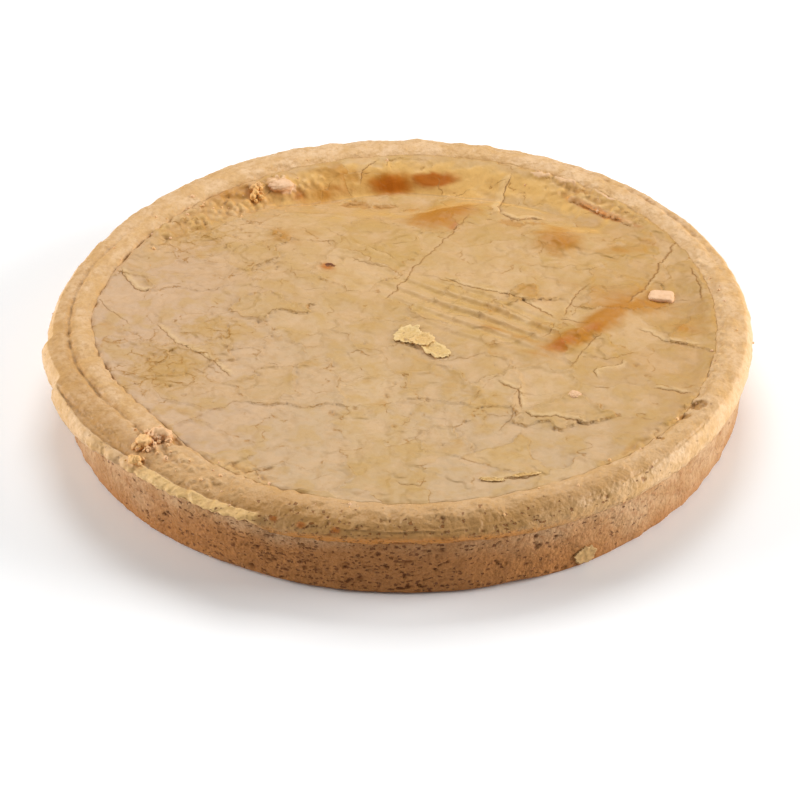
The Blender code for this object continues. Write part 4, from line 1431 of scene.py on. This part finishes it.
reliefTree = crustRelief()
lidSkin = makeSkin(reliefTree, lidMaterial(lidLook))
print("lid skin:", len(lidSkin.data.polygons), "triangles")
lidRim = makeRim(reliefTree, rimMaterial(rimLook))
print("rim:", len(lidRim.data.polygons), "triangles")
sideCrust = makeSide(reliefTree, sideMaterial(sideLook))
print("side crust:", len(sideCrust.data.polygons), "triangles")
skinFlakes = makeFlakes(flakeMaterial(bitLook))
lumpPastry = lumpMaterial(bitLook)
crumbLumps = makeLumps(lumpPastry)
looseCrumbs = makeCrumbs(lumpPastry, lidSkin, lidRim, sideCrust)
bits = [skinFlakes, crumbLumps, looseCrumbs]
print("flakes, lumps and crumbs:", [len(piece.data.polygons) for piece in bits])

for piece in (lidSkin, lidRim, sideCrust, *bits):
    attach(piece, "root")
for piece in (lidSkin, lidRim, sideCrust):
    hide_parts("tart")


# Studio: a pale floor, soft lights from both sides and above, and the camera
studio = {
    "floorSize": 6.0,
    "floorColour": (0.97, 0.97, 0.97, 1.0),
    "floorRoughness": 0.6,
    "worldStrength": 0.20,
    "viewDistance": 1.2,
    "viewElevation": 35.32,
    "viewRoll": -0.34,
    "lens": 156.15,
    "shift": (-0.00325, -0.01975),
}
# place, what it faces, width, height, power
lights = {
    "leftSoftbox": ((-1.3, 0.02, 0.52), (0.0, 0.0, 0.02), 0.7, 0.6, 15.0),
    "rightSoftbox": ((1.3, 0.0, 0.50), (0.0, 0.0, 0.02), 0.7, 0.6, 19.5),
    "backSoftbox": ((0.0, 0.95, 1.25), (0.0, 0.0, 0.0), 0.8, 0.8, 12.5),
}


def makeFloor():
    half = studio["floorSize"] / 2
    mesh = bpy.data.meshes.new("floor")
    corners = [(-half, -half, 0), (half, -half, 0), (half, half, 0), (-half, half, 0)]
    mesh.from_pydata(corners, [], [(0, 1, 2, 3)])
    material = bpy.data.materials.new("paleFloor")
    material.use_nodes = True
    shader = material.node_tree.nodes["Principled BSDF"]
    shader.inputs["Base Color"].default_value = studio["floorColour"]
    shader.inputs["Roughness"].default_value = studio["floorRoughness"]
    mesh.materials.append(material)
    floor = bpy.data.objects.new("floor", mesh)
    bpy.context.scene.collection.objects.link(floor)


def makeLights():
    for name, (place, target, width, height, power) in lights.items():
        light = bpy.data.lights.new(name, "AREA")
        light.shape = "RECTANGLE"
        light.size = width
        light.size_y = height
        light.energy = power
        lamp = bpy.data.objects.new(name, light)
        lamp.location = place
        lamp.rotation_euler = (Vector(target) - Vector(place)).to_track_quat("-Z", "Y").to_euler()
        bpy.context.scene.collection.objects.link(lamp)
    world = bpy.data.worlds.new("studio")
    world.use_nodes = True
    background = world.node_tree.nodes["Background"]
    background.inputs["Color"].default_value = (1.0, 1.0, 1.0, 1.0)
    background.inputs["Strength"].default_value = studio["worldStrength"]
    bpy.context.scene.world = world


def makeCamera():
    tilt = math.radians(studio["viewElevation"])
    forward = Vector((0.0, math.cos(tilt), -math.sin(tilt)))
    camera = bpy.data.cameras.new("camera")
    camera.lens = studio["lens"]
    camera.shift_x, camera.shift_y = studio["shift"]
    eye = bpy.data.objects.new("camera", camera)
    eye.location = -forward * studio["viewDistance"]
    eye.rotation_mode = "QUATERNION"
    roll = Quaternion((0.0, 0.0, 1.0), math.radians(studio["viewRoll"]))
    eye.rotation_quaternion = forward.to_track_quat("-Z", "Y") @ roll
    bpy.context.scene.collection.objects.link(eye)
    bpy.context.scene.camera = eye


makeFloor()
makeLights()
makeCamera()
bpy.context.scene.view_settings.view_transform = "Standard"
print("studio ready")
